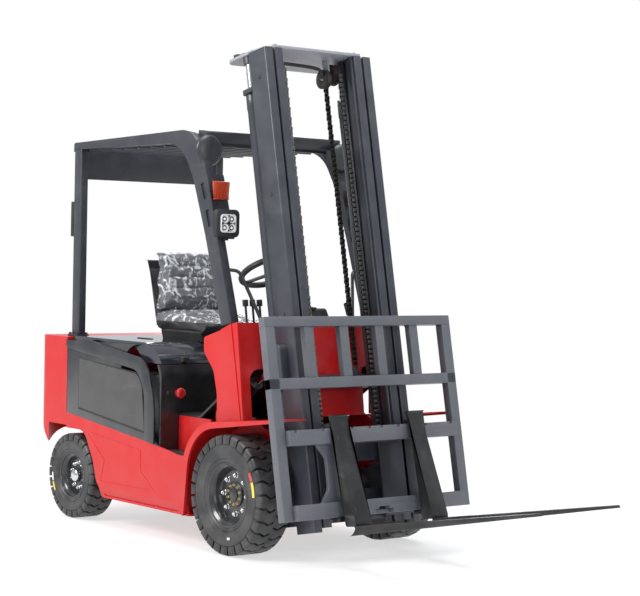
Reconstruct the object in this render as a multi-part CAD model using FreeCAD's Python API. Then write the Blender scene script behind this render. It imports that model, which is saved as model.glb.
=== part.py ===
import math
import os

import FreeCAD, Part
from FreeCAD import Vector

# Four-wheel electric counterbalance forklift, 2.5 t class, with a two-stage mast.
# Millimetres. +X points forward along the forks, +Y to the driver's left, +Z up.
# All places below are measured from the ground under the front axle. The finished part is
# moved along X so that its origin is the middle of its length.

# Running gear
wheelbase = 1470
front_tyre_radius = 299
front_tyre_width = 190
front_rim_radius = 152
front_lugs = 28
front_ridge_radius = 249
front_wheel_y = 479.5
rear_tyre_radius = 235
rear_tyre_width = 160
rear_rim_radius = 118
rear_lugs = 24
rear_ridge_radius = 194
rear_wheel_y = 487
kingpin_y = 370
kingpin_boss_radius = 29
kingpin_radius = 14
front_spindle_radius = 38
rear_spindle_radius = 30
shaft_clearance = 0.05
running_gap = 0.3

axle_tube_radius = 62

rear_axle_x = -wheelbase

# Body
wheelhouse_y = 352
riser_y = 420
skirt_crease_z = 207
skirt_rear_z = 583
skirt_bend_x = -700
skirt_bend_z = 492
skirt_front_x = -372
skirt_front_z = 447
panel_back_x = -640
floor_break_x = -420
toe_top_x = -140
toe_top_z = 842
body_half_width = 560
fender_half_width = 575
plate = 12
ground_clearance = 150
bulkhead_x = -170
floor_z = 650
step_z = 455
arch_top_z = 498
front_panel_x = -612
hood_top_z = 1010
hood_rear_x = -1512
hood_half_width = 536
hood_wall = 6
hood_front_radius = 190
hood_lip_z = 905
panel_gap = 4
hinge_radius = 8.5
hinge_pin_radius = 4
counterweight_front_x = -1531
counterweight_corner_x = -1812
counterweight_rear_x = -1850
counterweight_top_z = 1003
counterweight_base_z = 300
tow_pin_radius = 15
tow_slot_height = 90
tow_slot_z = 605

# Battery
battery_length = 470
battery_half_width = 490
battery_height = 680
battery_front_x = -645

# Guard
guard_half_width = 489
guard_post_width = 48
guard_front_top_z = 2119
guard_rear_top_z = 2086
guard_rail_depth = 62
guard_rear_x = -1608
rear_post_depth = 73
rear_header_base_z = 1885
roof_bar_count = 9
roof_bar_width = 22

# Mast
mast_datum_z = 250
tilt_back_deg = 11.4
mast_top = 2240
mast_base = -180
outer_rail_out = 346
outer_flange = 50
rail_gap = 12
inner_flange = 50
rail_front = 400
rail_rear = 258
flange_thickness = 18
web_thickness = 14
roller_radius = 52.7
sheave_y = 185
sheave_radius = 55
sheave_d = 270
chain_thickness = 14
chain_width = 24
cylinder_y = 300
cylinder_d = 205
cylinder_radius = 36
lift_rod_radius = 22
barrel_base = 150
member_depth = 25
beside_gap = 6
lift_travel = 1800
rod_foot = barrel_base + 21
barrel_top = rod_foot + lift_travel + 74

# Carriage
backrest_half_width = 600
backrest_front = 500
backrest_depth = 46
backrest_top = 860
backrest_post = 58
backrest_bar = 48
carriage_base = -118
carriage_top = 310
fork_bar_height = 74
fork_bar_front = 532
fork_bar_rear = 494
fork_centre_y = 246
fork_width = 104
fork_thickness = 45
fork_length = 1222
fork_top = 371
fork_base = -212
carriage_plate_y = 215
carriage_plate_thickness = 16

# Tilt cylinders
tilt_pin_y = 372
tilt_pin_d = 289
tilt_pin_s = 671
tilt_base_x = -300
tilt_base_z = 660
tilt_barrel_radius = 36
tilt_barrel_length = 330
tilt_rod_radius = 17
tilt_pin_radius = 14
tilt_eye_radius = 28
tilt_eye_gap = 3.4

# Driver's place
steering_x = -400
steering_z = 1400
steering_radius = 185
steering_lean_deg = 28
column_radius = 26


def corner_arc(before, corner, after, radius):
    """Start, middle and end of the arc that rounds one corner of a flat outline."""
    back = Vector(before[0] - corner[0], before[1] - corner[1], 0).normalize()
    ahead = Vector(after[0] - corner[0], after[1] - corner[1], 0).normalize()
    half = back.getAngle(ahead) / 2
    point = Vector(corner[0], corner[1], 0)
    start = point + back * (radius / math.tan(half))
    end = point + ahead * (radius / math.tan(half))
    bisector = (back + ahead).normalize()
    middle = point + bisector * (radius / math.sin(half) - radius)
    return start, middle, end


def flat_face(corners, lift):
    """A face from (a, b) or (a, b, radius) corners; lift turns (a, b) into a point."""
    spans = []
    for index, corner in enumerate(corners):
        if len(corner) == 3:
            following = corners[(index + 1) % len(corners)]
            spans.append(corner_arc(corners[index - 1], corner, following, corner[2]))
        else:
            point = Vector(corner[0], corner[1], 0)
            spans.append((point, None, point))
    edges = []
    for index, (start, middle, end) in enumerate(spans):
        previous_end = spans[index - 1][2]
        if previous_end.distanceToPoint(start) > 1e-4:
            edges.append(Part.LineSegment(lift(previous_end), lift(start)).toShape())
        if middle is not None:
            edges.append(Part.Arc(lift(start), lift(middle), lift(end)).toShape())
    return Part.Face(Part.Wire(edges))


def side_prism(corners, y_from, y_to):
    """An (x, z) outline carried from one y to another."""
    face = flat_face(corners, lambda p: Vector(p.x, y_from, p.y))
    return face.extrude(Vector(0, y_to - y_from, 0))


def plan_prism(corners, z_from, z_to):
    """An (x, y) outline carried from one z to another."""
    face = flat_face(corners, lambda p: Vector(p.x, p.y, z_from))
    return face.extrude(Vector(0, 0, z_to - z_from))


def front_prism(corners, x_from, x_to):
    """A (y, z) outline carried from one x to another."""
    face = flat_face(corners, lambda p: Vector(x_from, p.x, p.y))
    return face.extrude(Vector(x_to - x_from, 0, 0))


def block(x_from, x_to, y_from, y_to, z_from, z_to):
    corner = Vector(min(x_from, x_to), min(y_from, y_to), min(z_from, z_to))
    return Part.makeBox(abs(x_to - x_from), abs(y_to - y_from), abs(z_to - z_from), corner)


def shaft(start, end, radius):
    direction = Vector(*end) - Vector(*start)
    return Part.makeCylinder(radius, direction.Length, Vector(*start), direction)


def turned(profile, centre_y):
    """A (radius, y) outline turned about the Y axis, its y measured from centre_y."""
    face = flat_face(profile, lambda p: Vector(p.x, p.y + centre_y, 0))
    return face.revolve(Vector(0, 0, 0), Vector(0, 1, 0), 360)


def bent_tube(points, bend, radius):
    """A round tube along straight runs joined by arcs of one bend radius."""
    route = [Vector(*point) for point in points]
    edges = []
    cursor = route[0]
    for index in range(1, len(route) - 1):
        back = (route[index - 1] - route[index]).normalize()
        ahead = (route[index + 1] - route[index]).normalize()
        half = back.getAngle(ahead) / 2
        start = route[index] + back * (bend / math.tan(half))
        end = route[index] + ahead * (bend / math.tan(half))
        bisector = (back + ahead).normalize()
        middle = route[index] + bisector * (bend / math.sin(half) - bend)
        edges.append(Part.LineSegment(cursor, start).toShape())
        edges.append(Part.Arc(start, middle, end).toShape())
        cursor = end
    edges.append(Part.LineSegment(cursor, route[-1]).toShape())
    path = Part.Wire(edges)
    section = Part.Wire(Part.makeCircle(radius, route[0], route[1] - route[0]))
    return path.makePipeShell([section], True, False)


def joined(shapes):
    return shapes[0].multiFuse(shapes[1:]).removeSplitter()


def without(shape, cutters):
    return shape.cut(Part.makeCompound(cutters))


def mirrored(shape):
    return shape.mirror(Vector(0, 0, 0), Vector(0, 1, 0))


def both_sides(shapes):
    return shapes + [mirrored(shape) for shape in shapes]


def moved(shape, x, y, z):
    copy = shape.copy()
    copy.translate(Vector(x, y, z))
    return copy


tilt = math.radians(tilt_back_deg)
axle_z = front_tyre_radius


def mast_point(d, y, s):
    """A point d in front of the pivot and s up the mast, on the mast as it stands."""
    x = d * math.cos(tilt) - s * math.sin(tilt)
    z = mast_datum_z + d * math.sin(tilt) + s * math.cos(tilt)
    return x, y, z


def leaned(shape):
    """Turns a piece drawn on an upright mast to the mast's parked angle."""
    copy = shape.copy()
    copy.rotate(Vector(0, 0, mast_datum_z), Vector(0, 1, 0), -tilt_back_deg)
    return copy


def mast_block(d_from, d_to, y_from, y_to, s_from, s_to):
    return block(d_from, d_to, y_from, y_to, mast_datum_z + s_from, mast_datum_z + s_to)


def mast_shaft(d, y, s, d_end, y_end, s_end, radius):
    return shaft((d, y, mast_datum_z + s), (d_end, y_end, mast_datum_z + s_end), radius)


def save(name, shapes):
    """Writes one node, moved so that the origin is the middle of the length."""
    solids = []
    for shape in shapes:
        solids.extend(moved(shape, -origin_x, 0, 0).Solids)
    Part.makeCompound(solids).exportStep("parts/" + name + ".step")
    pieces[name] = solids


pieces = {}
os.makedirs("parts", exist_ok=True)

# Forks, drawn first because they reach furthest forward
fork_face = backrest_front + 79
fork_heel_radius = 60
fork_profile = [
    (fork_face - fork_thickness, mast_datum_z + fork_top),
    (fork_face, mast_datum_z + fork_top, 12),
    (fork_face, mast_datum_z + fork_base + fork_thickness, fork_heel_radius - fork_thickness),
    (fork_face + fork_length - 8, mast_datum_z + fork_base + 16, 3),
    (fork_face + fork_length, mast_datum_z + fork_base, 2),
    (fork_face - fork_thickness, mast_datum_z + fork_base, fork_heel_radius),
]
fork_blank = side_prism(fork_profile, fork_centre_y - fork_width / 2, fork_centre_y + fork_width / 2)
tip_length = 170
tip_half_width = 32
fork_plan = plan_prism([
    (fork_face - fork_thickness, fork_centre_y - fork_width / 2),
    (fork_face + fork_length - tip_length, fork_centre_y - fork_width / 2, 200),
    (fork_face + fork_length, fork_centre_y - tip_half_width, 14),
    (fork_face + fork_length, fork_centre_y + tip_half_width, 14),
    (fork_face + fork_length - tip_length, fork_centre_y + fork_width / 2, 200),
    (fork_face - fork_thickness, fork_centre_y + fork_width / 2),
], mast_datum_z + fork_base - 10, mast_datum_z + fork_top + 10)
hook_reach = 16
upper_hook = mast_block(fork_bar_rear - hook_reach, fork_face - fork_thickness + 2,
                        fork_centre_y - 15, fork_centre_y + 45,
                        carriage_top + running_gap, carriage_top + 24)
lower_hook = mast_block(fork_bar_rear - hook_reach, fork_face - fork_thickness + 2,
                        fork_centre_y - 15, fork_centre_y + 45,
                        carriage_base - 24, carriage_base - running_gap)
fork = joined([fork_blank.common(fork_plan), upper_hook, lower_hook])
forks = [leaned(shape) for shape in both_sides([fork])]
fork_tip_x = max(shape.BoundBox.XMax for shape in forks)
origin_x = (fork_tip_x + counterweight_rear_x) / 2
save("forks", forks)

# Fork locking pins on the upper hooks
pin_radius = 11
fork_pins = [leaned(shape) for shape in both_sides([
    mast_shaft(fork_bar_rear + 19, fork_centre_y, carriage_top + 24 + running_gap,
               fork_bar_rear + 19, fork_centre_y, carriage_top + 58, pin_radius)])]
save("fork_pins", fork_pins)

# Load backrest: a frame of flat bars behind the forks
backrest_rear = backrest_front - backrest_depth
backrest_bars = [
    mast_block(backrest_rear, backrest_front, -backrest_half_width, backrest_half_width,
               backrest_top - backrest_bar, backrest_top),
    mast_block(backrest_rear, backrest_front, -backrest_half_width, backrest_half_width,
               510, 562)]
for side in (-1, 1):
    backrest_bars.append(mast_block(
        backrest_rear, backrest_front, side * backrest_half_width,
        side * (backrest_half_width - backrest_post), carriage_base, backrest_top))
for y in (-331, -109, 121, 349):
    backrest_bars.append(mast_block(backrest_rear + 6, backrest_front - 4, y - 27, y + 27,
                                    540, backrest_top - 10))
save("load_backrest", [leaned(joined(backrest_bars))])

# Carriage: two fork bars, end plates, roller plates with rollers
bar_half = backrest_half_width - backrest_post - running_gap
upper_bar = mast_block(fork_bar_rear, fork_bar_front, -bar_half, bar_half,
                       carriage_top - fork_bar_height, carriage_top)
lower_bar = mast_block(fork_bar_rear, fork_bar_front, -bar_half, bar_half,
                       carriage_base, carriage_base + fork_bar_height)
notches = [mast_block(fork_bar_rear - 1, fork_bar_front + 1, y - 9, y + 9,
                      carriage_top - 12, carriage_top + 1)
           for y in (-500, -330, -150, -40, 40, 150, 330, 500)]
notches.append(mast_block(fork_bar_rear - 1, fork_bar_front + 1, -60, 60,
                          carriage_base - 1, carriage_base + 22))
plate_z = [mast_datum_z + carriage_base + 10, mast_datum_z + carriage_top - 8]
end_plate_tip = 356
end_plate_waist = 303
end_plate = front_prism([
    (carriage_plate_y - 8, plate_z[0]), (end_plate_tip, plate_z[0]), (end_plate_tip, plate_z[0] + 60, 22),
    (end_plate_waist, plate_z[0] + 130, 60), (end_plate_waist, plate_z[1] - 130, 60),
    (end_plate_tip, plate_z[1] - 60, 22), (end_plate_tip, plate_z[1]), (carriage_plate_y - 8, plate_z[1])],
    fork_bar_rear - 22, fork_bar_rear + 1)
roller_d = (rail_front - flange_thickness + rail_rear + flange_thickness) / 2
roller_plate = side_prism([
    (roller_d - 40, mast_datum_z + carriage_base - 10, 30),
    (fork_bar_rear + 1, mast_datum_z + carriage_base - 10),
    (fork_bar_rear + 1, mast_datum_z + carriage_top),
    (roller_d - 40, mast_datum_z + carriage_top, 30)],
    carriage_plate_y - carriage_plate_thickness / 2, carriage_plate_y + carriage_plate_thickness / 2)
inner_out = outer_rail_out - outer_flange - rail_gap
inner_in = inner_out - inner_flange
inner_web_out = inner_out - 20
inner_web_in = inner_web_out - web_thickness
carriage_rollers = [mast_shaft(roller_d, carriage_plate_y, s, roller_d, inner_web_in - 2, s, roller_radius)
                    for s in (carriage_base + 50, carriage_top - roller_radius)]
cross_tie = mast_block(fork_bar_rear - 60, fork_bar_rear + 1, -carriage_plate_y, carriage_plate_y,
                       carriage_top - fork_bar_height, carriage_top - fork_bar_height + 20)
lower_tie = mast_block(fork_bar_rear - 60, fork_bar_rear + 1, -carriage_plate_y, carriage_plate_y,
                       carriage_base, carriage_base + 20)
chain_front = sheave_d + sheave_radius + running_gap + chain_thickness
chain_lug = mast_block(chain_front + 5, fork_bar_rear - 58, sheave_y - chain_width / 2,
                       carriage_plate_y, carriage_top - fork_bar_height, carriage_top - 4)
carriage = joined([without(upper_bar, notches), without(lower_bar, notches), cross_tie, lower_tie]
                  + both_sides([end_plate, roller_plate, chain_lug] + carriage_rollers))
save("carriage", [leaned(carriage)])


def rail(out_y, in_y, web_out, web_in, s_from, s_to):
    """A mast rail: two flanges tied by a web, on the left side."""
    return joined([
        mast_block(rail_front - flange_thickness, rail_front, in_y, out_y, s_from, s_to),
        mast_block(rail_rear, rail_rear + flange_thickness, in_y, out_y, s_from, s_to),
        mast_block(rail_rear, rail_front, web_in, web_out, s_from, s_to)])


# Outer mast: channel rails, cross members behind them, tilt brackets and pivot bosses
outer_in = outer_rail_out - outer_flange
outer_rail = rail(outer_rail_out, outer_in, outer_rail_out, outer_rail_out - web_thickness,
                  mast_base, mast_top)
member_front = cylinder_d - cylinder_radius - 4
member_back = member_front - member_depth
member_heights = ((538, 608), (mast_base + 40, mast_base + 200))
outer_members = []
for s_from, s_to in member_heights:
    outer_members.append(mast_block(member_back, member_front, -outer_rail_out, outer_rail_out, s_from, s_to))
    for side in (-1, 1):
        outer_members.append(mast_block(member_back, rail_rear + 1, side * outer_rail_out,
                                        side * (cylinder_y + cylinder_radius + 1), s_from, s_to))
seat_plate = mast_block(member_back, rail_rear - beside_gap, cylinder_y - cylinder_radius, outer_rail_out,
                        barrel_base - 24, barrel_base - running_gap)
seat_web = mast_block(member_back, rail_rear + 1, outer_rail_out - web_thickness, outer_rail_out,
                      mast_base + 40, barrel_base - running_gap)
chain_foot = 640
chain_anchor = mast_block(member_front - 1, sheave_d - sheave_radius, sheave_y - chain_width / 2,
                          sheave_y + chain_width / 2, 580, chain_foot - running_gap)
clamp_base = mast_datum_z + barrel_top + running_gap
barrel_clamp = plan_prism([
    (rail_rear + 1, outer_rail_out), (cylinder_d - cylinder_radius - 10, outer_rail_out - 6, 30),
    (cylinder_d - cylinder_radius - 10, cylinder_y - cylinder_radius, 30),
    (rail_rear - beside_gap, cylinder_y - cylinder_radius), (rail_rear - beside_gap, outer_in + 2),
    (rail_rear + 1, outer_in + 2)], clamp_base, clamp_base + 22)
barrel_clamp = barrel_clamp.cut(mast_shaft(cylinder_d, cylinder_y, barrel_top, cylinder_d, cylinder_y,
                                           barrel_top + 40, lift_rod_radius + 3))
top_roller = mast_shaft(roller_d, inner_web_out + 2, mast_top - 90, roller_d, outer_rail_out - 2,
                        mast_top - 90, roller_radius)
bracket_profile = [
    (rail_rear + 6, mast_datum_z + tilt_pin_s - 95, 8),
    (rail_rear + 75, mast_datum_z + tilt_pin_s - 95, 8),
    (rail_rear + 75, mast_datum_z + tilt_pin_s + 80, 30),
    (rail_rear + 6, mast_datum_z + tilt_pin_s + 80, 30)]
bracket = side_prism(bracket_profile, outer_rail_out - 2, outer_rail_out + 50)
rod_eye_slot = mast_block(rail_rear - 40, tilt_pin_d + 32, tilt_pin_y - 14, tilt_pin_y + 14,
                          tilt_pin_s - 60, tilt_pin_s + 34)
tilt_pin = mast_shaft(tilt_pin_d, tilt_pin_y - 20, tilt_pin_s, tilt_pin_d, tilt_pin_y + 20,
                      tilt_pin_s, tilt_pin_radius)
axle_d = (axle_z - mast_datum_z) * math.sin(tilt)
axle_up = mast_datum_z + (axle_z - mast_datum_z) * math.cos(tilt)
cap_radius = axle_tube_radius + 22
pivot_arm = side_prism([
    (axle_d - cap_radius, axle_up - cap_radius, cap_radius - 1),
    (rail_rear + 4, axle_up - cap_radius), (rail_rear + 4, axle_up + cap_radius),
    (axle_d - cap_radius, axle_up + cap_radius, cap_radius - 1)],
    outer_rail_out - 40, outer_rail_out - 8)
pivot_bore = shaft((axle_d, 0, axle_up), (axle_d, outer_rail_out + 50, axle_up),
                   axle_tube_radius + shaft_clearance)
pivot_arm = pivot_arm.cut(pivot_bore)
outer_mast = joined(outer_members + both_sides([
    outer_rail, bracket.cut(rod_eye_slot), tilt_pin, pivot_arm, seat_plate, seat_web, chain_anchor,
    barrel_clamp, top_roller]))
save("outer_mast", [leaned(outer_mast)])

# Lift cylinder barrels on their seats beside the outer rails
lift_barrel = mast_shaft(cylinder_d, cylinder_y, barrel_base, cylinder_d, cylinder_y, barrel_top,
                         cylinder_radius)
lift_bore = mast_shaft(cylinder_d, cylinder_y, barrel_base + 20, cylinder_d, cylinder_y, barrel_top + 1,
                       lift_rod_radius + shaft_clearance)
lift_barrel = lift_barrel.cut(lift_bore)
save("lift_barrels", [leaned(shape) for shape in both_sides([lift_barrel])])

# Inner mast: nested rails, cross members, top plate and sheave brackets
inner_rail = rail(inner_out, inner_in, inner_web_out, inner_web_in, mast_base + 20, mast_top)
plate_rear = 44
plate_rear_half = 334
top_plate = plan_prism([
    (rail_front - 4, -inner_out), (rail_front - 4, inner_out), (rail_rear + 30, plate_rear_half, 60),
    (plate_rear, plate_rear_half, 56), (plate_rear, -plate_rear_half, 56),
    (rail_rear + 30, -plate_rear_half, 60)],
    mast_datum_z + mast_top, mast_datum_z + mast_top + 16)
inner_member_half = cylinder_y - cylinder_radius - beside_gap
inner_member = mast_block(rail_rear - 26, rail_rear + 1, -inner_member_half, inner_member_half, 156, 246)
hose_pulley_y = 125
hose_pulley_s = 2138
pulley_arm = mast_block(sheave_d - 22, sheave_d + 22, hose_pulley_y + 17, hose_pulley_y + 29,
                        hose_pulley_s - 30, mast_top + 1)
pulley_pin = mast_shaft(sheave_d, hose_pulley_y - 18, hose_pulley_s, sheave_d, hose_pulley_y + 18,
                        hose_pulley_s, 9)
outer_roller = mast_shaft(roller_d, inner_web_out - 4, mast_base + 90, roller_d,
                          outer_rail_out - web_thickness - 2, mast_base + 90, roller_radius)
inner_mast = joined([top_plate, inner_member, pulley_arm, pulley_pin] + both_sides([inner_rail, outer_roller]))
save("inner_mast", [leaned(inner_mast)])

# Lift rods from inside the barrels up to the inner mast's top plate
lift_rod = mast_shaft(cylinder_d, cylinder_y, rod_foot, cylinder_d, cylinder_y,
                      mast_top - running_gap, lift_rod_radius)
save("lift_rods", [leaned(shape) for shape in both_sides([lift_rod])])

# Chain sheaves under the top plate
sheave_s = mast_top - 75
sheave = mast_shaft(sheave_d, sheave_y - 16, sheave_s, sheave_d, sheave_y + 16, sheave_s, sheave_radius)
hose_pulley = mast_shaft(sheave_d, hose_pulley_y - 15, hose_pulley_s, sheave_d, hose_pulley_y + 15,
                         hose_pulley_s, 50)
hose_pulley = hose_pulley.cut(mast_shaft(sheave_d, hose_pulley_y - 19, hose_pulley_s, sheave_d,
                                         hose_pulley_y + 19, hose_pulley_s, 9 + shaft_clearance))
save("chain_sheaves", [leaned(shape) for shape in both_sides([sheave]) + [hose_pulley]])

# Lift chains: a front strand down to the carriage and a rear one to the outer mast
chain_d = sheave_radius + running_gap
link_length = 130
link_waist = 8.5


def chain_strand(d_from, d_to, s_from, s_to):
    """One strand seen from the front as a row of waisted links."""
    count = round((s_to - s_from) / link_length)
    half = chain_width / 2
    edge = []
    for index in range(2 * count + 1):
        reach = half if index % 2 == 0 else link_waist
        edge.append((reach, mast_datum_z + s_from + (s_to - s_from) * index / (2 * count)))
    outline = [(sheave_y + reach, z) for reach, z in edge]
    outline += [(sheave_y - reach, z) for reach, z in reversed(edge)]
    return front_prism(outline, d_from, d_to)


front_strand = chain_strand(sheave_d + chain_d, chain_front, carriage_top - 40, sheave_s)
rear_strand = mast_block(sheave_d - chain_d - chain_thickness, sheave_d - chain_d,
                         sheave_y - chain_width / 2, sheave_y + chain_width / 2, chain_foot, sheave_s)
save("lift_chains", [leaned(shape) for shape in both_sides([front_strand, rear_strand])])

# Tilt cylinders: barrel hinged on the frame, rod to the mast bracket
rod_eye = mast_point(tilt_pin_d, 0, tilt_pin_s)
rod_run = Vector(rod_eye[0] - tilt_base_x, 0, rod_eye[2] - tilt_base_z)
rod_reach = rod_run.Length
rod_run.normalize()


def tilt_cylinder(y):
    """Barrel and rod of one tilt cylinder, between its frame pin and the mast bracket."""
    def at(distance):
        return tilt_base_x + rod_run.x * distance, y, tilt_base_z + rod_run.z * distance

    def across(point, radius, half):
        return shaft((point[0], y - half, point[2]), (point[0], y + half, point[2]), radius)

    barrel = joined([
        across(at(0), tilt_eye_radius, 13), shaft(at(10), at(64), 12),
        shaft(at(60), at(tilt_barrel_length), tilt_barrel_radius)])
    barrel = without(barrel, [
        across(at(0), tilt_pin_radius + shaft_clearance, 40),
        shaft(at(80), at(tilt_barrel_length + 1), tilt_rod_radius + shaft_clearance)])
    rod = joined([
        across(at(rod_reach), tilt_eye_radius - 1, 13), shaft(at(rod_reach - 64), at(rod_reach - 20), 11),
        shaft(at(120), at(rod_reach - 60), tilt_rod_radius)])
    return barrel, rod.cut(across(at(rod_reach), tilt_pin_radius + tilt_eye_gap, 40))


for name, y in (("left", tilt_pin_y), ("right", -tilt_pin_y)):
    tilt_barrel, tilt_rod = tilt_cylinder(y)
    save("tilt_barrel_" + name, [tilt_barrel])
    save("tilt_rod_" + name, [tilt_rod])

# Drive axle: motor and gearbox housing, axle tubes, frame pads and wheel spindles
spindle_end = front_wheel_y + 10
flange_y = front_wheel_y - 92
axle_half = [
    (0, 0), (118, 0), (118, 160), (axle_tube_radius, 190), (axle_tube_radius, 350),
    (88, 366), (88, flange_y), (front_spindle_radius, flange_y),
    (front_spindle_radius, spindle_end), (0, spindle_end)]
axle_side = moved(turned(axle_half, 0), 0, 0, axle_z)
axle_pad = block(bulkhead_x + plate, -30, 215, 275, axle_z - 45, axle_z + 45)
save("drive_axle", [joined(both_sides([axle_side, axle_pad]))])


bay_front_x = front_panel_x + running_gap

# Chassis frame: skirts, fenders, steps, floor pan, bulkheads and wheelhouse, welded as one
skirt_in = body_half_width - plate
skirt = side_prism([
    (counterweight_front_x, skirt_rear_z), (skirt_bend_x, skirt_bend_z), (skirt_front_x, skirt_front_z), (-350, skirt_crease_z),
    (-1182, skirt_crease_z), (-1212, 240, 20), (-1248, 345, 120), (-1340, arch_top_z, 100),
    (counterweight_front_x, arch_top_z)], skirt_in, body_half_width)
skirt_foot = front_prism([
    (skirt_in, skirt_crease_z), (body_half_width, skirt_crease_z),
    (body_half_width - 22, ground_clearance), (body_half_width - 34, ground_clearance)],
    -1182, -348)
fender_outer = [(-396, 160), (-348, 628, 280), (352, 697)]
fender_sheet = side_prism(fender_outer + [(352, 689), (-339, 620, 271), (-386, 160)],
                          wheelhouse_y, fender_half_width)
fender_lip = side_prism(fender_outer + [(352, 682), (-310, 592, 244), (-354, 160)],
                        fender_half_width - 14, fender_half_width)
wheelhouse = side_prism([
    (-394, 162), (140, 162), (140, 560), (-60, 670), (-150, 640), (-344, 470)],
    wheelhouse_y, wheelhouse_y + 8).cut(
        shaft((0, 0, axle_z), (0, body_half_width, axle_z), axle_tube_radius + 32))
spacer = block(-388, -340, wheelhouse_y, body_half_width - 20, ground_clearance, ground_clearance + plate)
step = block(panel_back_x, -378, riser_y, body_half_width, step_z - 8, step_z)
step_front = side_prism([(-390, ground_clearance), (-378, ground_clearance), (-352, 450), (-364, 450)],
                        wheelhouse_y, body_half_width)
riser = side_prism([(bay_front_x, step_z - 8), (-378, step_z - 8), (-330, 520), (-330, floor_z - plate),
                    (bay_front_x, floor_z - plate)], riser_y, riser_y + plate)
pan = block(-1150, -345, -skirt_in, skirt_in, ground_clearance, ground_clearance + plate)
front_pan = block(-345, bulkhead_x + plate, -wheelhouse_y, wheelhouse_y,
                  ground_clearance, ground_clearance + plate)
front_bulkhead = block(bulkhead_x, bulkhead_x + plate, -wheelhouse_y, wheelhouse_y,
                       ground_clearance, 590)
cross_tube = block(-345, -260, -wheelhouse_y - 40, wheelhouse_y + 40, 545, 590)
pin_ears = [block(-330, -276, tilt_pin_y + sign * 22 - 6, tilt_pin_y + sign * 22 + 6, 585, tilt_base_z + 24)
            for sign in (-1, 1)]
base_pin = shaft((tilt_base_x, tilt_pin_y - 28, tilt_base_z), (tilt_base_x, tilt_pin_y + 28, tilt_base_z),
                 tilt_pin_radius)
ear_foot = block(-330, -270, tilt_pin_y - 28, tilt_pin_y + 28, 545, 590)
side_web = block(-430, bulkhead_x, wheelhouse_y - 8, wheelhouse_y, ground_clearance, 590)
rear_bulkhead = block(-1150, -1138, -skirt_in, skirt_in, ground_clearance, 512)
wheelhouse_roof = block(counterweight_front_x, -1138, -skirt_in, skirt_in, 500, 512)
panel_wall = block(panel_back_x, panel_back_x + plate, -skirt_in, skirt_in, ground_clearance, step_z)
floor_posts = block(bay_front_x, bay_front_x + 40, riser_y - 30, riser_y + plate, step_z - 8, floor_z - plate)
saddle = block(rear_axle_x - 52, rear_axle_x + 52, -70, 70, 312, 512)
saddle_web = block(-1416, -1140, -50, 50, 420, 512)
chassis = joined([pan, front_pan, front_bulkhead, cross_tube, rear_bulkhead, wheelhouse_roof, panel_wall,
                  saddle, saddle_web]
                 + both_sides([skirt, skirt_foot, fender_sheet, fender_lip, wheelhouse, spacer, step,
                               step_front, riser, base_pin, ear_foot, side_web, floor_posts] + pin_ears))
save("chassis_frame", [chassis])

# Floor: flat tread plate, then a toe board parallel to the tilt cylinders
floor = side_prism([
    (bay_front_x, floor_z - plate), (floor_break_x, floor_z - plate),
    (toe_top_x, toe_top_z - plate), (toe_top_x, toe_top_z + 3), (floor_break_x - 4, floor_z),
    (bay_front_x, floor_z)], -riser_y - plate, riser_y + plate)
save("floor_plate", [floor])

# Battery block in its case
battery_base_z = ground_clearance + plate
battery_rear_x = battery_front_x - battery_length
save("battery", [block(battery_rear_x, battery_front_x, -battery_half_width, battery_half_width,
                       battery_base_z, battery_base_z + battery_height)])

# Counterweight: one casting with wheel clearance, tow slot and pin pocket
bow_depth = counterweight_corner_x - counterweight_rear_x
bow_radius = (body_half_width ** 2 + bow_depth ** 2) / (2 * bow_depth)
counterweight_plan = [
    (counterweight_front_x, -body_half_width), (counterweight_rear_x - 10, -body_half_width, 110),
    (counterweight_rear_x - 10, body_half_width, 110), (counterweight_front_x, body_half_width)]
casting = plan_prism(counterweight_plan, counterweight_base_z, counterweight_top_z).common(
    Part.makeCylinder(bow_radius, counterweight_top_z, Vector(counterweight_rear_x + bow_radius, 0, 0)))
casting_side = side_prism([
    (counterweight_front_x, counterweight_base_z), (-1640, counterweight_base_z), (-1658, 366, 20),
    (-1726, 408, 60), (-1806, 506, 60), (counterweight_rear_x, 580, 60),
    (counterweight_rear_x, counterweight_top_z, 34),
    (counterweight_front_x, counterweight_top_z)], -body_half_width - 1, body_half_width + 1)
sweep_radius = 312
sweep = shaft((rear_axle_x, kingpin_y, 0), (rear_axle_x, kingpin_y, 512), sweep_radius).common(
    block(rear_axle_x - 400, rear_axle_x + 400, 160, 800, 0, 512))
arch_cut = side_prism([
    (-1760, 0), (-1200, 0), (-1200, arch_top_z), (-1650, arch_top_z, 60), (-1730, 330, 80)], 370, 700)
tow_slot = block(counterweight_rear_x - 10, counterweight_rear_x + 90, -60, 60,
                 tow_slot_z - tow_slot_height / 2, tow_slot_z + tow_slot_height / 2)
tow_x = counterweight_rear_x + 42
tow_pocket = block(counterweight_rear_x - 10, tow_x + 40, -34, 34, tow_slot_z + 95, tow_slot_z + 170)
tow_bore = shaft((tow_x, 0, tow_slot_z - 100), (tow_x, 0, tow_slot_z + 100), tow_pin_radius + 0.5)
counterweight = without(casting.common(casting_side),
                        both_sides([sweep, arch_cut]) + [tow_slot, tow_pocket, tow_bore])
hinge_x = (counterweight_front_x + hood_rear_x) / 2
hinge_z = counterweight_top_z - hinge_radius + 3
hinge_parts = [shaft((hinge_x, 255, hinge_z), (hinge_x, 405, hinge_z), hinge_pin_radius)]
for y in (260, 360 + running_gap):
    hinge_parts.append(shaft((hinge_x, y, hinge_z), (hinge_x, y + 40 - running_gap, hinge_z), hinge_radius))
    hinge_parts.append(block(counterweight_front_x - 1, hinge_x, y, y + 40 - running_gap,
                             hinge_z - hinge_pin_radius - 1, hinge_z + hinge_pin_radius + 1))
counterweight = joined([counterweight] + both_sides(hinge_parts))
save("counterweight", [counterweight])
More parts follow.
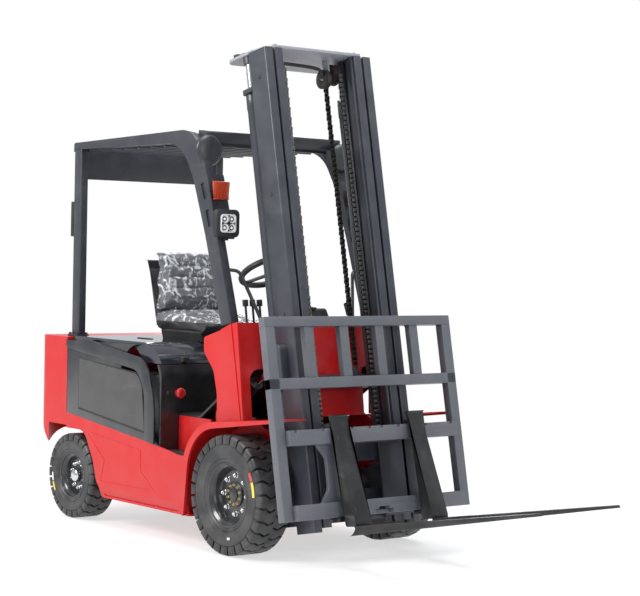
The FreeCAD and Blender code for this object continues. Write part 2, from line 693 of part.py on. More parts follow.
tow_head = shaft((tow_x, 0, tow_slot_z + 95 + running_gap), (tow_x, 0, tow_slot_z + 108), tow_pin_radius + 8)
save("tow_pin", [joined([shaft((tow_x, 0, tow_slot_z - 88), (tow_x, 0, tow_slot_z + 100), tow_pin_radius),
                         tow_head])])

# Grey side covers with the raised dark band that frames them
cover_front_x = front_panel_x - 6
cover_share = (skirt_front_x - cover_front_x) / (skirt_front_x - skirt_bend_x)
cover = side_prism([
    (counterweight_front_x + panel_gap, skirt_rear_z + running_gap), (counterweight_front_x + panel_gap, 1000, 10),
    (cover_front_x, 1000, hood_front_radius - 6),
    (cover_front_x, skirt_front_z + (skirt_bend_z - skirt_front_z) * cover_share + running_gap),
    (skirt_bend_x, skirt_bend_z + running_gap)],
    skirt_in, body_half_width)
inner_panel = side_prism([(-1398, 622), (-1398, 908, 8), (-780, 836, 90), (-742, 548)],
                         body_half_width - 1, body_half_width + 3)
save("side_covers", both_sides([cover.fuse(inner_panel).removeSplitter()]))
band = side_prism([
    (counterweight_front_x + panel_gap, 998), (-1290, 998, 60), (-720, 924, 150), (-646, 700, 400),
    (-646, 490), (-728, 501), (-742, 760, 200), (-800, 862, 110), (-1420, 932, 20),
    (counterweight_front_x + panel_gap, 948)], body_half_width + running_gap, body_half_width + 9)
save("cover_bands", both_sides([band]))

# Black front cover of the battery bay, under the hood's lip
front_curve = math.sqrt(hood_front_radius ** 2 - (hood_lip_z - hood_top_z + hood_front_radius) ** 2)
front_cover_outline = [(front_panel_x, step_z), (front_panel_x, hood_lip_z - 60, 120),
                       (front_panel_x - hood_front_radius + front_curve, hood_lip_z - panel_gap),
                       (front_panel_x - hood_front_radius + front_curve - 22, hood_lip_z - panel_gap),
                       (front_panel_x - plate, hood_lip_z - 70, 120), (front_panel_x - plate, step_z)]
front_cover = side_prism(front_cover_outline, -skirt_in + running_gap, skirt_in - running_gap)
save("front_cover", [front_cover])
button_y = -436
button_z = 754
save("stop_button", [shaft((front_panel_x, button_y, button_z), (front_panel_x + 14, button_y, button_z), 14).fuse(
    shaft((front_panel_x + 14, button_y, button_z), (front_panel_x + 30, button_y, button_z), 28)).removeSplitter()])

# Hood: a thin curved lid over the battery bay, hinged at its rear edge
def hood_outline(inset):
    return [(hood_rear_x + inset, 900), (hood_rear_x + inset, hood_top_z - inset, 30 - inset),
            (front_panel_x - inset, hood_top_z - inset, hood_front_radius - inset),
            (front_panel_x - inset, 800), (front_panel_x - 200, 800)]


hood_outer = side_prism(hood_outline(0), -hood_half_width, hood_half_width)
hood_inner = side_prism(hood_outline(hood_wall), -hood_half_width + hood_wall, hood_half_width - hood_wall)
hood_trim = side_prism([
    (hood_rear_x - 50, 700), (hood_rear_x - 50, 972), (-860, 972, 40), (-800, hood_lip_z, 40),
    (-500, hood_lip_z), (-500, 700)], -700, 700)
hood_knuckle = shaft((hinge_x, 300, hinge_z), (hinge_x, 360, hinge_z), hinge_radius).fuse(
    block(hinge_x, hood_rear_x + 12, 300, 360, hinge_z - 6, hinge_z + 2))
hinge_bore = shaft((hinge_x, 290, hinge_z), (hinge_x, 370, hinge_z), hinge_pin_radius + shaft_clearance)
hood = joined([hood_outer.cut(hood_inner).cut(hood_trim)] + both_sides([hood_knuckle.cut(hinge_bore)]))
save("hood", [hood])
latch = block(front_panel_x - 34, front_panel_x - 2, -412, -372, hood_lip_z + 8, hood_lip_z + 34)
save("hood_latch", [latch.cut(hood_outer)])

# Seat on its suspension box
seat_base_top = hood_top_z + 55
seat_base = front_prism([(-200, hood_top_z + running_gap), (200, hood_top_z + running_gap),
                         (215, seat_base_top, 10), (-215, seat_base_top, 10)], -1120, -740)
save("seat_base", [seat_base])
cushion_z = seat_base_top + running_gap
cushion = side_prism([(-1150, cushion_z, 20), (-665, cushion_z, 40), (-660, cushion_z + 118, 48),
                      (-1150, cushion_z + 90, 30)], -235, 235)
save("seat_cushion", [cushion])
seat_back = side_prism([(-1152, cushion_z + 30, 20), (-1062, cushion_z + 95 + 30, 20),
                        (-1150, 1500, 45), (-1255, 1490, 45)], -232, 232)
save("seat_back", [seat_back.cut(cushion)])

# Cowl: red sides with post feet, a front panel with openings for the tilt cylinders
cowl_half = 505
cowl_wall = 12



def cowl_foot(x):
    """Height of the cowl's lower edge, which stands on the fender's sloping top."""
    corner, tip = fender_outer[1], fender_outer[2]
    return corner[1] + (tip[1] - corner[1]) * (x - corner[0]) / (tip[0] - corner[0]) + running_gap


cowl_side = side_prism([
    (-300, 1062, 18), (-154, 1105), (-70, 1138), (-20, 1151, 6), (44, cowl_foot(44)), (-173, cowl_foot(-173)), (-180, 790, 120),
    (-212, 900, 90), (-296, 985, 50)], cowl_half - cowl_wall, cowl_half)
post_foot = side_prism([(-150, 1108), (-66, 1140), (28, cowl_foot(28)), (-58, cowl_foot(-58))], cowl_half - 50, cowl_half + 4)
cowl_front = side_prism([
    (-46, 1142), (-34, 1146), (30, cowl_foot(30)), (18, cowl_foot(18))], -cowl_half + 2, cowl_half - 2)
cylinder_opening = front_prism([(290, 600), (436, 600), (436, 915, 55), (290, 915, 20)], -80, 100)
cowl = without(joined([cowl_front] + both_sides([cowl_side, post_foot])), both_sides([cylinder_opening]))
save("cowl", [cowl])

# Dash: black top, rear face down to the toe board, display hump and column cover
dash_block = side_prism([
    (-46.3, 1142), (-150, 1094), (-288, 1052, 16), (-288, 1000, 30), (-190, 862), (-140, 856),
    (-100, 960)], -cowl_half + cowl_wall, cowl_half - cowl_wall)
dash_block = without(dash_block, both_sides([post_foot]))
hump = side_prism([(-60, 1130), (-110, 1215, 30), (-190, 1205, 30), (-230, 1060)], -130, 130)
lean = math.radians(steering_lean_deg)
wheel_up = Vector(-math.sin(lean), 0, math.cos(lean))
wheel_centre = Vector(steering_x, 0, steering_z)


def on_column(distance):
    """A point on the steering axis, below the wheel's hub."""
    point = wheel_centre - wheel_up * distance
    return point.x, point.y, point.z


column = shaft(on_column(50), on_column(350), column_radius)
column_shaft = shaft(on_column(20), on_column(60), 10)
dash = joined([dash_block, hump, column, column_shaft])
save("dash", [dash])

# Steering wheel: rim, three spokes, hub and spinner knob, drawn flat and then leaned
rim_radius = 15
rim_corner = rim_radius * math.tan(math.radians(22.5))
rim_section = [(rim_radius, -rim_corner), (rim_radius, rim_corner), (rim_corner, rim_radius),
               (-rim_corner, rim_radius), (-rim_radius, rim_corner), (-rim_radius, -rim_corner),
               (-rim_corner, -rim_radius), (rim_corner, -rim_radius)]
rim_face = flat_face(rim_section, lambda p: Vector(p.x + steering_radius - rim_radius, 0, p.y))
rim = rim_face.revolve(Vector(0, 0, 0), Vector(0, 0, 1), 360)
hub = Part.makeCylinder(36, 30, Vector(0, 0, -36)).cut(Part.makeCylinder(10 + shaft_clearance, 40, Vector(0, 0, -40)))
spokes = []
for angle in (0, 120, 240):
    spoke = Part.makeBox(steering_radius - 40, 26, 10, Vector(26, -13, -18))
    spoke.rotate(Vector(0, 0, 0), Vector(0, 1, 0), -4)
    spoke.rotate(Vector(0, 0, 0), Vector(0, 0, 1), angle + 90)
    spokes.append(spoke)
knob = Part.makeCylinder(9, 26, Vector(30, steering_radius - rim_radius, 0)).fuse(
    Part.makeCylinder(19, 34, Vector(30, steering_radius - rim_radius, 22)))
steering_wheel = joined([rim, hub, knob] + spokes)
steering_wheel.rotate(Vector(0, 0, 0), Vector(0, 1, 0), -steering_lean_deg)
save("steering_wheel", [moved(steering_wheel, steering_x, 0, steering_z)])

# Levers: direction switch on the column, hydraulic levers on the dash, parking brake at the left
levers = [shaft(on_column(110), (on_column(110)[0] + 20, 175, on_column(110)[2] + 40), 8)]
for y in (-205, -250, -295):
    levers.append(joined([shaft((-210, y, 1070), (-236, y, 1225), 6), shaft((-235, y, 1220), (-240, y, 1252), 15)]))
levers.append(joined([shaft((-200, 405, 1060), (-262, 405, 1200), 9), shaft((-250, 405, 1172), (-276, 405, 1232), 14)]))
save("control_levers", [lever.cut(dash) for lever in levers])

# Pedals on the toe board
pedals = []
for y, width in ((-250, 70), (-120, 90)):
    pad = side_prism([(-400, 745), (-388, 737), (-320, 812), (-332, 820)], y - width / 2, y + width / 2)
    arm = shaft((-354, y, 775), (-300, y, 728), 9)
    pedals.append(joined([pad, arm]).cut(floor))
save("pedals", pedals)

# Overhead guard: side frames bent from plate, headers, roof bars
guard_in = guard_half_width - guard_post_width
guard_side = side_prism([
    (-91, 1142), (-341, 1925, 260), (-452, guard_front_top_z + 2, 170),
    (guard_rear_x - 6, guard_rear_top_z, 12), (guard_rear_x - 6, guard_rear_top_z - guard_rail_depth, 12),
    (-560, guard_front_top_z - guard_rail_depth - 2, 220), (-445, 1869, 300), (-329, 1578), (-176, 1126)],
    guard_in, guard_half_width)
slots = [side_prism([(-384, 1852), (-350, 1846), (-312, 1755), (-345, 1758)], guard_half_width - 8, guard_half_width + 1),
         side_prism([(-336, 1715), (-302, 1710), (-270, 1614), (-302, 1618)], guard_half_width - 8, guard_half_width + 1)]
rear_post = block(guard_rear_x, guard_rear_x + rear_post_depth, guard_in, guard_half_width,
                  counterweight_top_z + 13, guard_rear_top_z - 40).cut(guard_side)
post_base = block(guard_rear_x - 20, guard_rear_x + rear_post_depth - 2, guard_in - 22, guard_half_width + 12,
                  counterweight_top_z + running_gap, counterweight_top_z + 13)
rear_header = front_prism([
    (-guard_in, rear_header_base_z, 30), (guard_in, rear_header_base_z, 30),
    (guard_in, guard_rear_top_z - 4), (-guard_in, guard_rear_top_z - 4)],
    guard_rear_x, guard_rear_x + 8)
front_header = side_prism([(-470, 2058), (-392, 2046, 8), (-400, 2112, 14), (-470, 2118)], -guard_in, guard_in)
roof_span = (guard_rear_x + 70, -530)
bars = []
for index in range(roof_bar_count):
    x = roof_span[0] + (roof_span[1] - roof_span[0]) * index / (roof_bar_count - 1)
    bars.append(block(x - roof_bar_width / 2, x + roof_bar_width / 2, -guard_in, guard_in, 2040, 2068))
save("overhead_guard", [rear_header, front_header] + bars
     + both_sides([without(guard_side, slots), rear_post, post_base]))

# Lamps, their bracket plates, the mirrors and rear lamps
post_slope = -250 / 783


def post_front(z):
    """Forward edge of the leaning front post at one height."""
    return -91 + (z - 1142) * post_slope + running_gap


lamp_plate = side_prism([(post_front(1885), 1885), (post_front(1560), 1560), (post_front(1560) + 5, 1560),
                         (post_front(1885) + 5, 1885)], 385, guard_half_width)
work_lamp = side_prism([(post_front(1568) + 5.3, 1568), (-178, 1568, 22), (-190, 1708, 22),
                        (post_front(1708) + 5.3, 1708)], 376, 520)
reflectors = [shaft((-200, 448 + across, 1638 + up), (-160, 448 + across, 1638 + up), 27)
              for across in (-33, 33) for up in (-32, 32)]
lamp_face = side_prism([(-188, 1560), (-150, 1560), (-150, 1716), (-200, 1716)], 360, 530)
work_lamp = work_lamp.cut(joined([reflector.common(lamp_face) for reflector in reflectors]))
turn_signal = side_prism([(post_front(1758) + 5.3, 1758), (-234, 1758, 16), (-262, 1850, 16),
                          (post_front(1850) + 5.3, 1850)], 393, 489)
save("lamp_brackets", both_sides([lamp_plate.cut(guard_side)]))
save("work_lamps", both_sides([work_lamp]))
rear_lamp = block(guard_rear_x - 34, guard_rear_x - running_gap, guard_in + 1, guard_half_width - 1, 1560, 1760)
save("signal_lamps", both_sides([turn_signal, rear_lamp]))
mirror_shell = shaft((-384, 440, 2010), (-352, 440, 2010), 80)
mirror_arm = shaft((-388, 440, 2010), (-440, 440, 2060), 8)
save("mirrors", both_sides([joined([mirror_shell, mirror_arm]).cut(front_header).cut(guard_side)]))

# Entry grab handles between the front posts and the dash
grab = bent_tube([(-235, 460, 1410), (-190, 372, 1400), (-80, 290, 1120)], 45, 9)
grab = grab.cut(guard_side).cut(dash).cut(cowl)
save("grab_handles", both_sides([grab]))

# Steer axle: box beam under the saddle with forked ends round the kingpins
beam = block(rear_axle_x - 50, rear_axle_x + 50, -168, 168, 175, 312 - running_gap)
fork_plate = plan_prism([
    (rear_axle_x - 40, 150), (rear_axle_x - kingpin_boss_radius, kingpin_y),
    (rear_axle_x + kingpin_boss_radius, kingpin_y), (rear_axle_x + 40, 150)], 0, 16)
fork_round = Part.makeCylinder(kingpin_boss_radius, 16, Vector(rear_axle_x, kingpin_y, 0))
fork_arm = joined([fork_plate, fork_round])
kingpin = shaft((rear_axle_x, kingpin_y, 172), (rear_axle_x, kingpin_y, 300), kingpin_radius)
steer_cylinder = shaft((rear_axle_x + 78, -190, 243), (rear_axle_x + 78, 190, 243), 30)
cylinder_tie = block(rear_axle_x + 40, rear_axle_x + 80, -30, 30, 225, 260)
steer_axle = joined([beam, steer_cylinder, cylinder_tie]
                    + both_sides([moved(fork_arm, 0, 0, 172), moved(fork_arm, 0, 0, 284), kingpin]))
save("steer_axle", [steer_axle])

# Steering knuckles: boss on the kingpin and spindle for the wheel
rear_z = rear_tyre_radius
boss_base = 188 + running_gap
boss_top = 284 - running_gap
knuckle_boss = shaft((rear_axle_x, kingpin_y, boss_base), (rear_axle_x, kingpin_y, boss_top), kingpin_boss_radius)
knuckle_bore = shaft((rear_axle_x, kingpin_y, boss_base - 5), (rear_axle_x, kingpin_y, boss_top + 5),
                     kingpin_radius + shaft_clearance)
spindle = shaft((rear_axle_x, kingpin_y + 20, rear_z), (rear_axle_x, rear_wheel_y + 22, rear_z), rear_spindle_radius)
spindle_flange = shaft((rear_axle_x, kingpin_y + 24, rear_z), (rear_axle_x, kingpin_y + 40, rear_z), 46)
knuckle = joined([knuckle_boss, spindle, spindle_flange]).cut(knuckle_bore)
save("knuckle_left", [knuckle])
save("knuckle_right", [mirrored(knuckle)])


def ring(stations, y):
    """Points at (angle, radius) stations about the Y axis."""
    return [Vector(radius * math.cos(angle), y, radius * math.sin(angle)) for angle, radius in stations]


def strip(first, second):
    """Triangles between two closed rows of as many points each."""
    triangles = []
    count = len(first)
    for index in range(count):
        after = (index + 1) % count
        triangles.append([first[index], first[after], second[index]])
        triangles.append([first[after], second[after], second[index]])
    return triangles


def lug_wall(lug_row, even_row, phase):
    """Triangles from two points a lug to one point a pitch, which starts half a pitch later or not."""
    triangles = []
    count = len(even_row)
    for index in range(count):
        foot, heel = lug_row[2 * index], lug_row[2 * index + 1]
        next_foot = lug_row[(2 * index + 2) % (2 * count)]
        here = even_row[(index + phase) % count]
        ahead = even_row[(index + phase + 1) % count]
        triangles.append([foot, heel, here])
        triangles.append([heel, next_foot, here if phase else ahead])
        triangles.append([next_foot, ahead, here] if phase else [heel, ahead, here])
    return triangles


def half_tyre(radius, half, rim_out, ridge, lugs, phase):
    """One side of a tyre as flat facets, with slanted lugs from the shoulder to the middle."""
    pitch = 2 * math.pi / lugs
    wide = lug_share * pitch / 2
    foot = wide + lug_draft * pitch
    slant = lug_slant * pitch
    shoulder = []
    middle = []
    even = []
    for index in range(lugs):
        turn = (index + phase / 2) * pitch
        shoulder += [(turn - foot, ridge), (turn - wide, radius - shoulder_drop),
                     (turn + wide, radius - shoulder_drop), (turn + foot, ridge)]
        middle += [(turn - foot + slant, radius - groove_depth), (turn - wide + slant, radius),
                   (turn + wide + slant, radius), (turn + foot + slant, radius - groove_depth)]
        even.append(index * pitch)
    around = math.cos(pitch / 2)
    bead = half - flange_inset - running_gap
    outer = ring(shoulder, half)
    inner = ring(middle, 0)
    corner = ring([(angle, (rim_out + running_gap) / around) for angle in even], bead)
    seat = ring([(angle, (rim_out - bead_depth) / around) for angle in even], bead)
    bore = ring([(angle, (rim_out - bead_depth) / around) for angle in even], 0)
    lug_row = [point for index, point in enumerate(outer) if index % 4 in (0, 3)]
    triangles = strip(outer, inner) + lug_wall(lug_row, corner, phase)
    triangles += strip(corner, seat) + strip(seat, bore)
    for index in range(0, 4 * lugs, 4):
        lug_end = outer[index:index + 4]
        triangles += [[lug_end[0], lug_end[1], lug_end[2]], [lug_end[0], lug_end[2], lug_end[3]]]
    faces = [Part.Face(Part.makePolygon(points + points[:1])) for points in triangles]
    outline = Part.Face([Part.makePolygon(inner + inner[:1]), Part.makePolygon(bore + bore[:1])])
    outline.validate()
    solid = Part.Solid(Part.Shell(faces + [outline]))
    solid.fixTolerance(1e-5)
    return solid if solid.Volume > 0 else solid.reversed()


def tyre_shape(radius, width, rim_out, ridge, lugs):
    left = half_tyre(radius, width / 2, rim_out, ridge, lugs, 0)
    right = mirrored(half_tyre(radius, width / 2, rim_out, ridge, lugs, 1))
    return joined([left, right])


def rim_shape(spec):
    """A dished wheel about the Y axis with its outer face towards +Y."""
    flange_in = spec["width"] / 2 - flange_inset
    flange_out = flange_in + flange_thick
    rim_out = spec["rim"]
    barrel = rim_out - bead_depth - running_gap
    barrel_in = barrel - rim_wall
    dish = spec["dish"]
    hub = spec["hub"]
    profile = [
        (0, spec["bore_end"]), (spec["bore"], spec["bore_end"]), (spec["bore"], -flange_out), (hub, -flange_out),
        (hub, dish - disc_thick), (barrel_in, dish - disc_thick), (barrel_in, -flange_out), (rim_out, -flange_out),
        (rim_out, -flange_in), (barrel, -flange_in), (barrel, flange_in), (rim_out, flange_in),
        (rim_out, flange_out), (barrel_in + 6, flange_out), (barrel_in, dish + 26), (barrel_in - 16, dish),
        (hub + 8, dish), (hub, spec["hub_end"]), (spec["cap"], spec["hub_end"]), (spec["cap"], spec["cap_end"] - 6),
        (spec["cap"] - 6, spec["cap_end"]), (0, spec["cap_end"])]
    parts = [turned(profile, 0)]
    size = spec["nut"]
    nut_corners = [(size * math.cos(math.radians(turn)), size * math.sin(math.radians(turn)))
                   for turn in range(0, 360, 60)]
    nut = side_prism(nut_corners, 0, size)
    for index in range(spec["nuts"]):
        angle = 2 * math.pi * index / spec["nuts"]
        parts.append(moved(nut, spec["circle"] * math.cos(angle), dish, spec["circle"] * math.sin(angle)))
    return Part.makeCompound(parts)


lug_share = 0.76
lug_draft = 0.06
lug_slant = 0.3
groove_depth = 21
shoulder_drop = 7
flange_inset = 20
flange_thick = 8
bead_depth = 12
rim_wall = 11
disc_thick = 12
front_wheel_spec = {
    "rim": front_rim_radius, "width": front_tyre_width, "dish": 24, "hub": 60, "hub_end": 37, "cap": 34,
    "cap_end": 47, "bore": front_spindle_radius + shaft_clearance, "bore_end": 12,
    "nut": 14, "nuts": 8, "circle": 97}
rear_wheel_spec = {
    "rim": rear_rim_radius, "width": rear_tyre_width, "dish": 20, "hub": 50, "hub_end": 29, "cap": 38,
    "cap_end": 62, "bore": rear_spindle_radius + shaft_clearance, "bore_end": 24,
    "nut": 10.5, "nuts": 10, "circle": 70}
front_tyre = tyre_shape(front_tyre_radius, front_tyre_width, front_rim_radius, front_ridge_radius, front_lugs)
front_rim = rim_shape(front_wheel_spec)
rear_tyre = tyre_shape(rear_tyre_radius, rear_tyre_width, rear_rim_radius, rear_ridge_radius, rear_lugs)
rear_rim = rim_shape(rear_wheel_spec)
for side, turn in (("left", 0), ("right", 180)):
    sign = 1 if side == "left" else -1
    for axle, x, y, z, tyre, rim_solid in (
            ("front", 0, front_wheel_y, front_tyre_radius, front_tyre, front_rim),
            ("rear", rear_axle_x, rear_wheel_y, rear_tyre_radius, rear_tyre, rear_rim)):
        for kind, shape in (("tyre", tyre), ("wheel", rim_solid)):
            copy = shape.copy()
            copy.rotate(Vector(0, 0, 0), Vector(0, 0, 1), turn)
            save(axle + "_" + kind + "_" + side, [moved(copy, x, sign * y, z)])

print("nodes", len(pieces), "origin", round(origin_x, 3))
boxes = [solid.BoundBox for solids in pieces.values() for solid in solids]
print("size", [round(v, 1) for v in (
    min(b.XMin for b in boxes), max(b.XMax for b in boxes), min(b.YMin for b in boxes),
    max(b.YMax for b in boxes), min(b.ZMin for b in boxes), max(b.ZMax for b in boxes))])
for name, solids in pieces.items():
    if not all(solid.isValid() for solid in solids):
        print("not valid:", name)
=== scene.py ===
import math
import bpy
from mathutils import Matrix, Vector, noise


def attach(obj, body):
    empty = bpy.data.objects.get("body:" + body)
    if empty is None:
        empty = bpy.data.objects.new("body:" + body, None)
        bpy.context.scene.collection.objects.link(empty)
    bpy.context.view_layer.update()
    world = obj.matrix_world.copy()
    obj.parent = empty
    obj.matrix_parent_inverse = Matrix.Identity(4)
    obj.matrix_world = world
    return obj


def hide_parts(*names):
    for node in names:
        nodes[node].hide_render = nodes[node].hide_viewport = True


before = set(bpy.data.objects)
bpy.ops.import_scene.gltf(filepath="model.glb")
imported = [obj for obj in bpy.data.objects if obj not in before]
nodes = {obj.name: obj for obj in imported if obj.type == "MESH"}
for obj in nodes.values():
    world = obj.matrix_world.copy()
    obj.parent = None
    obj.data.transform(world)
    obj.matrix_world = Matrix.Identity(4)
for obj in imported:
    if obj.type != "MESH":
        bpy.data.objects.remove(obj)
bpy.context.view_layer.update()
print("frame loaded")

originShift = 0.02192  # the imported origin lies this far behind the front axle
mastLean = math.radians(11.4)  # how far the mast stands back at rest
mastDatum = 250  # height of the mast's datum above the ground


def vehicle(x, y, z):  # a place measured from the ground under the front axle, in millimetres
    return Vector((x / 1000 + originShift, y / 1000, z / 1000))


def onMast(d, y, s):  # d in front of the mast's datum, s up the mast, in millimetres
    x = d * math.cos(mastLean) - s * math.sin(mastLean)
    z = mastDatum + d * math.sin(mastLean) + s * math.cos(mastLean)
    return vehicle(x, y, z)


# camera: metres and degrees

cameraShot = {"place": (7.1631, -5.7813, 1.5088), "yaw": 141.0, "pitch": -1.49, "roll": 1.21, "lens": 101.4}


def addCamera():
    yaw = math.radians(cameraShot["yaw"])
    pitch = math.radians(cameraShot["pitch"])
    roll = math.radians(cameraShot["roll"])
    ahead = Vector((math.cos(pitch) * math.cos(yaw), math.cos(pitch) * math.sin(yaw), math.sin(pitch)))
    level = Vector((math.sin(yaw), -math.cos(yaw), 0))
    rise = level.cross(ahead)
    right = level * math.cos(roll) + rise * math.sin(roll)
    up = rise * math.cos(roll) - level * math.sin(roll)
    bpy.ops.object.camera_add()
    camera = bpy.context.object
    turn = Matrix((right, up, -ahead)).transposed()
    camera.matrix_world = Matrix.Translation(cameraShot["place"]) @ turn.to_4x4()
    camera.data.lens = cameraShot["lens"]
    camera.data.clip_end = 60
    bpy.context.scene.camera = camera


addCamera()

# light and floor

studio = {"sky": 0.62, "backdrop": (0.96, 0.96, 0.96), "floorSize": 24, "glow": 0.6, "fade": (2.0, 4.5)}


def addNode(tree, kind, values=None, **settings):  # a shader node with its settings and fixed inputs
    node = tree.nodes.new("ShaderNode" + kind)
    for label, value in settings.items():
        setattr(node, label, value)
    for label, value in (values or {}).items():
        node.inputs[label].default_value = value
    return node


def linkNodes(tree, *links):  # each link: node, output, node, input
    for start, given, end, taken in links:
        tree.links.new(start.outputs[given], end.inputs[taken])


def addWorld():
    world = bpy.data.worlds.new("studio")
    bpy.context.scene.world = world
    world.use_nodes = True
    tree = world.node_tree
    tree.nodes.clear()
    output = addNode(tree, "OutputWorld")
    seen = addNode(tree, "Background", {"Color": (1, 1, 1, 1)})
    glow = addNode(tree, "Background", {"Color": (0.93, 0.96, 1, 1), "Strength": studio["sky"]})
    mix = addNode(tree, "MixShader")
    path = addNode(tree, "LightPath")
    linkNodes(tree, (path, "Is Camera Ray", mix, 0), (glow, 0, mix, 1), (seen, 0, mix, 2),
              (mix, 0, output, 0))


def addLamp(name, place, target, size, power, colour):
    bpy.ops.object.light_add(type="AREA", location=place)
    lamp = bpy.context.object
    lamp.name = name
    lamp.data.size = size
    lamp.data.energy = power
    lamp.data.color = colour
    lamp.rotation_euler = (Vector(target) - Vector(place)).to_track_quat("-Z", "Y").to_euler()


lamps = [
    # name, place, target, size, power, colour
    ("sunSide", (-1.5, -6.5, 5.5), (-0.3, 0, 0.9), 3.2, 520, (1, 0.98, 0.95)),
    ("overhead", (0.5, 0.5, 7.5), (0, 0, 0.5), 5.0, 420, (1, 1, 1)),
    ("frontFill", (7.5, -1.5, 3.0), (0.5, 0, 1.0), 4.0, 120, (0.9, 0.94, 1)),
    ("backRim", (-5.5, 4.5, 4.0), (-0.5, 0, 1.2), 3.0, 160, (0.95, 0.97, 1)),
]


def newMaterial(name):
    material = bpy.data.materials.new(name)
    material.use_nodes = True
    tree = material.node_tree
    return material, tree, tree.nodes["Principled BSDF"], addNode(tree, "TexCoord")


def addFloor():  # a pale floor that fades to plain white away from the machine
    bpy.ops.mesh.primitive_plane_add(size=studio["floorSize"])
    floor = bpy.context.object
    floor.name = "floor"
    material, tree, shader, place = newMaterial("floor")
    shader.inputs["Base Color"].default_value = (*studio["backdrop"], 1)
    shader.inputs["Roughness"].default_value = 0.9
    near, far = studio["fade"]
    output = tree.nodes["Material Output"]
    glow = addNode(tree, "Emission")
    mix = addNode(tree, "MixShader")
    path = addNode(tree, "LightPath")
    either = addNode(tree, "Math", operation="MAXIMUM")
    share = addNode(tree, "Math", operation="MULTIPLY")
    reach = addNode(tree, "VectorMath", operation="LENGTH")
    fade = addNode(tree, "MapRange", {"From Min": near, "From Max": far, "To Min": studio["glow"]})
    linkNodes(tree, (path, "Is Camera Ray", either, 0), (path, "Is Glossy Ray", either, 1),
              (place, "Object", reach, 0), (reach, "Value", fade, "Value"), (either, 0, share, 0),
              (fade, 0, share, 1), (share, 0, mix, 0), (shader, 0, mix, 1), (glow, 0, mix, 2),
              (mix, 0, output, "Surface"))
    floor.data.materials.append(material)


addWorld()
for lampSpec in lamps:
    addLamp(*lampSpec)
addFloor()
bpy.context.scene.view_settings.view_transform = "Standard"
print("camera, light and floor ready")

# shared shader effects


def newGroup(name, inputs, outputs):
    group = bpy.data.node_groups.new(name, "ShaderNodeTree")
    for label, kind, value in inputs:
        socket = group.interface.new_socket(label, in_out="INPUT", socket_type="NodeSocket" + kind)
        if value is not None:
            socket.default_value = value
    for label, kind in outputs:
        group.interface.new_socket(label, in_out="OUTPUT", socket_type="NodeSocket" + kind)
    return group, group.nodes.new("NodeGroupInput"), group.nodes.new("NodeGroupOutput")


def mottleGroup():  # slow drift of a colour between two tones
    group, start, end = newGroup("mottle", [
        ("Vector", "Vector", None), ("Scale", "Float", 3.0), ("Colour", "Color", None),
        ("Drift", "Color", None), ("Amount", "Float", 0.3)], [("Color", "Color")])
    cloud = addNode(group, "TexNoise", {"Detail": 5})
    ramp = addNode(group, "MapRange", {"From Min": 0.35, "From Max": 0.7})
    scaled = addNode(group, "Math", operation="MULTIPLY")
    mix = addNode(group, "Mix", data_type="RGBA")
    linkNodes(group, (start, "Vector", cloud, "Vector"), (start, "Scale", cloud, "Scale"),
              (cloud, "Fac", ramp, "Value"), (ramp, 0, scaled, 0), (start, "Amount", scaled, 1),
              (scaled, 0, mix, "Factor"), (start, "Colour", mix, "A"), (start, "Drift", mix, "B"),
              (mix, "Result", end, "Color"))
    return group


def dustGroup():  # fine dust, thickest on the faces that look up
    group, start, end = newGroup("dust", [
        ("Vector", "Vector", None), ("Colour", "Color", None), ("Dust", "Color", (0.45, 0.42, 0.38, 1)),
        ("Amount", "Float", 0.2)], [("Color", "Color"), ("Mask", "Float")])
    cloud = addNode(group, "TexNoise", {"Scale": 9, "Detail": 8})
    geometry = addNode(group, "NewGeometry")
    split = addNode(group, "SeparateXYZ")
    up = addNode(group, "MapRange", {"From Min": -0.2, "To Min": 0.25})
    patch = addNode(group, "MapRange", {"From Min": 0.4, "From Max": 0.75})
    both = addNode(group, "Math", operation="MULTIPLY")
    scaled = addNode(group, "Math", operation="MULTIPLY")
    mix = addNode(group, "Mix", data_type="RGBA")
    linkNodes(group, (start, "Vector", cloud, "Vector"), (geometry, "Normal", split, 0),
              (split, "Z", up, "Value"), (cloud, "Fac", patch, "Value"), (up, 0, both, 0),
              (patch, 0, both, 1), (both, 0, scaled, 0), (start, "Amount", scaled, 1),
              (scaled, 0, mix, "Factor"), (start, "Colour", mix, "A"), (start, "Dust", mix, "B"),
              (mix, "Result", end, "Color"), (scaled, 0, end, "Mask"))
    return group


def grainGroup():  # height of a moulded or sprayed skin: fine grain over slow waves
    group, start, end = newGroup("grain", [
        ("Vector", "Vector", None), ("Fine", "Float", 400.0), ("Waves", "Float", 12.0),
        ("Balance", "Float", 0.3)],
        [("Height", "Float")])
    fine = addNode(group, "TexNoise", {"Detail": 3})
    slow = addNode(group, "TexNoise")
    mix = addNode(group, "Mix")
    linkNodes(group, (start, "Vector", fine, "Vector"), (start, "Vector", slow, "Vector"),
              (start, "Fine", fine, "Scale"), (start, "Waves", slow, "Scale"),
              (start, "Balance", mix, "Factor"), (fine, "Fac", mix, "A"), (slow, "Fac", mix, "B"),
              (mix, "Result", end, "Height"))
    return group


def scratchGroup():  # thin long scratches as a mask
    group, start, end = newGroup("scratches", [
        ("Vector", "Vector", None), ("Scale", "Float", 30.0), ("Amount", "Float", 0.5)], [("Mask", "Float")])
    stretch = addNode(group, "Mapping", {"Scale": (0.15, 2.5, 1.2), "Rotation": (0.3, 0.2, 0.4)})
    cloud = addNode(group, "TexNoise", {"Detail": 10})
    cut = addNode(group, "MapRange", {"From Min": 0.62, "From Max": 0.7})
    scaled = addNode(group, "Math", operation="MULTIPLY")
    linkNodes(group, (start, "Vector", stretch, "Vector"), (stretch, 0, cloud, "Vector"),
              (start, "Scale", cloud, "Scale"), (cloud, "Fac", cut, "Value"), (cut, 0, scaled, 0),
              (start, "Amount", scaled, 1), (scaled, 0, end, "Mask"))
    return group


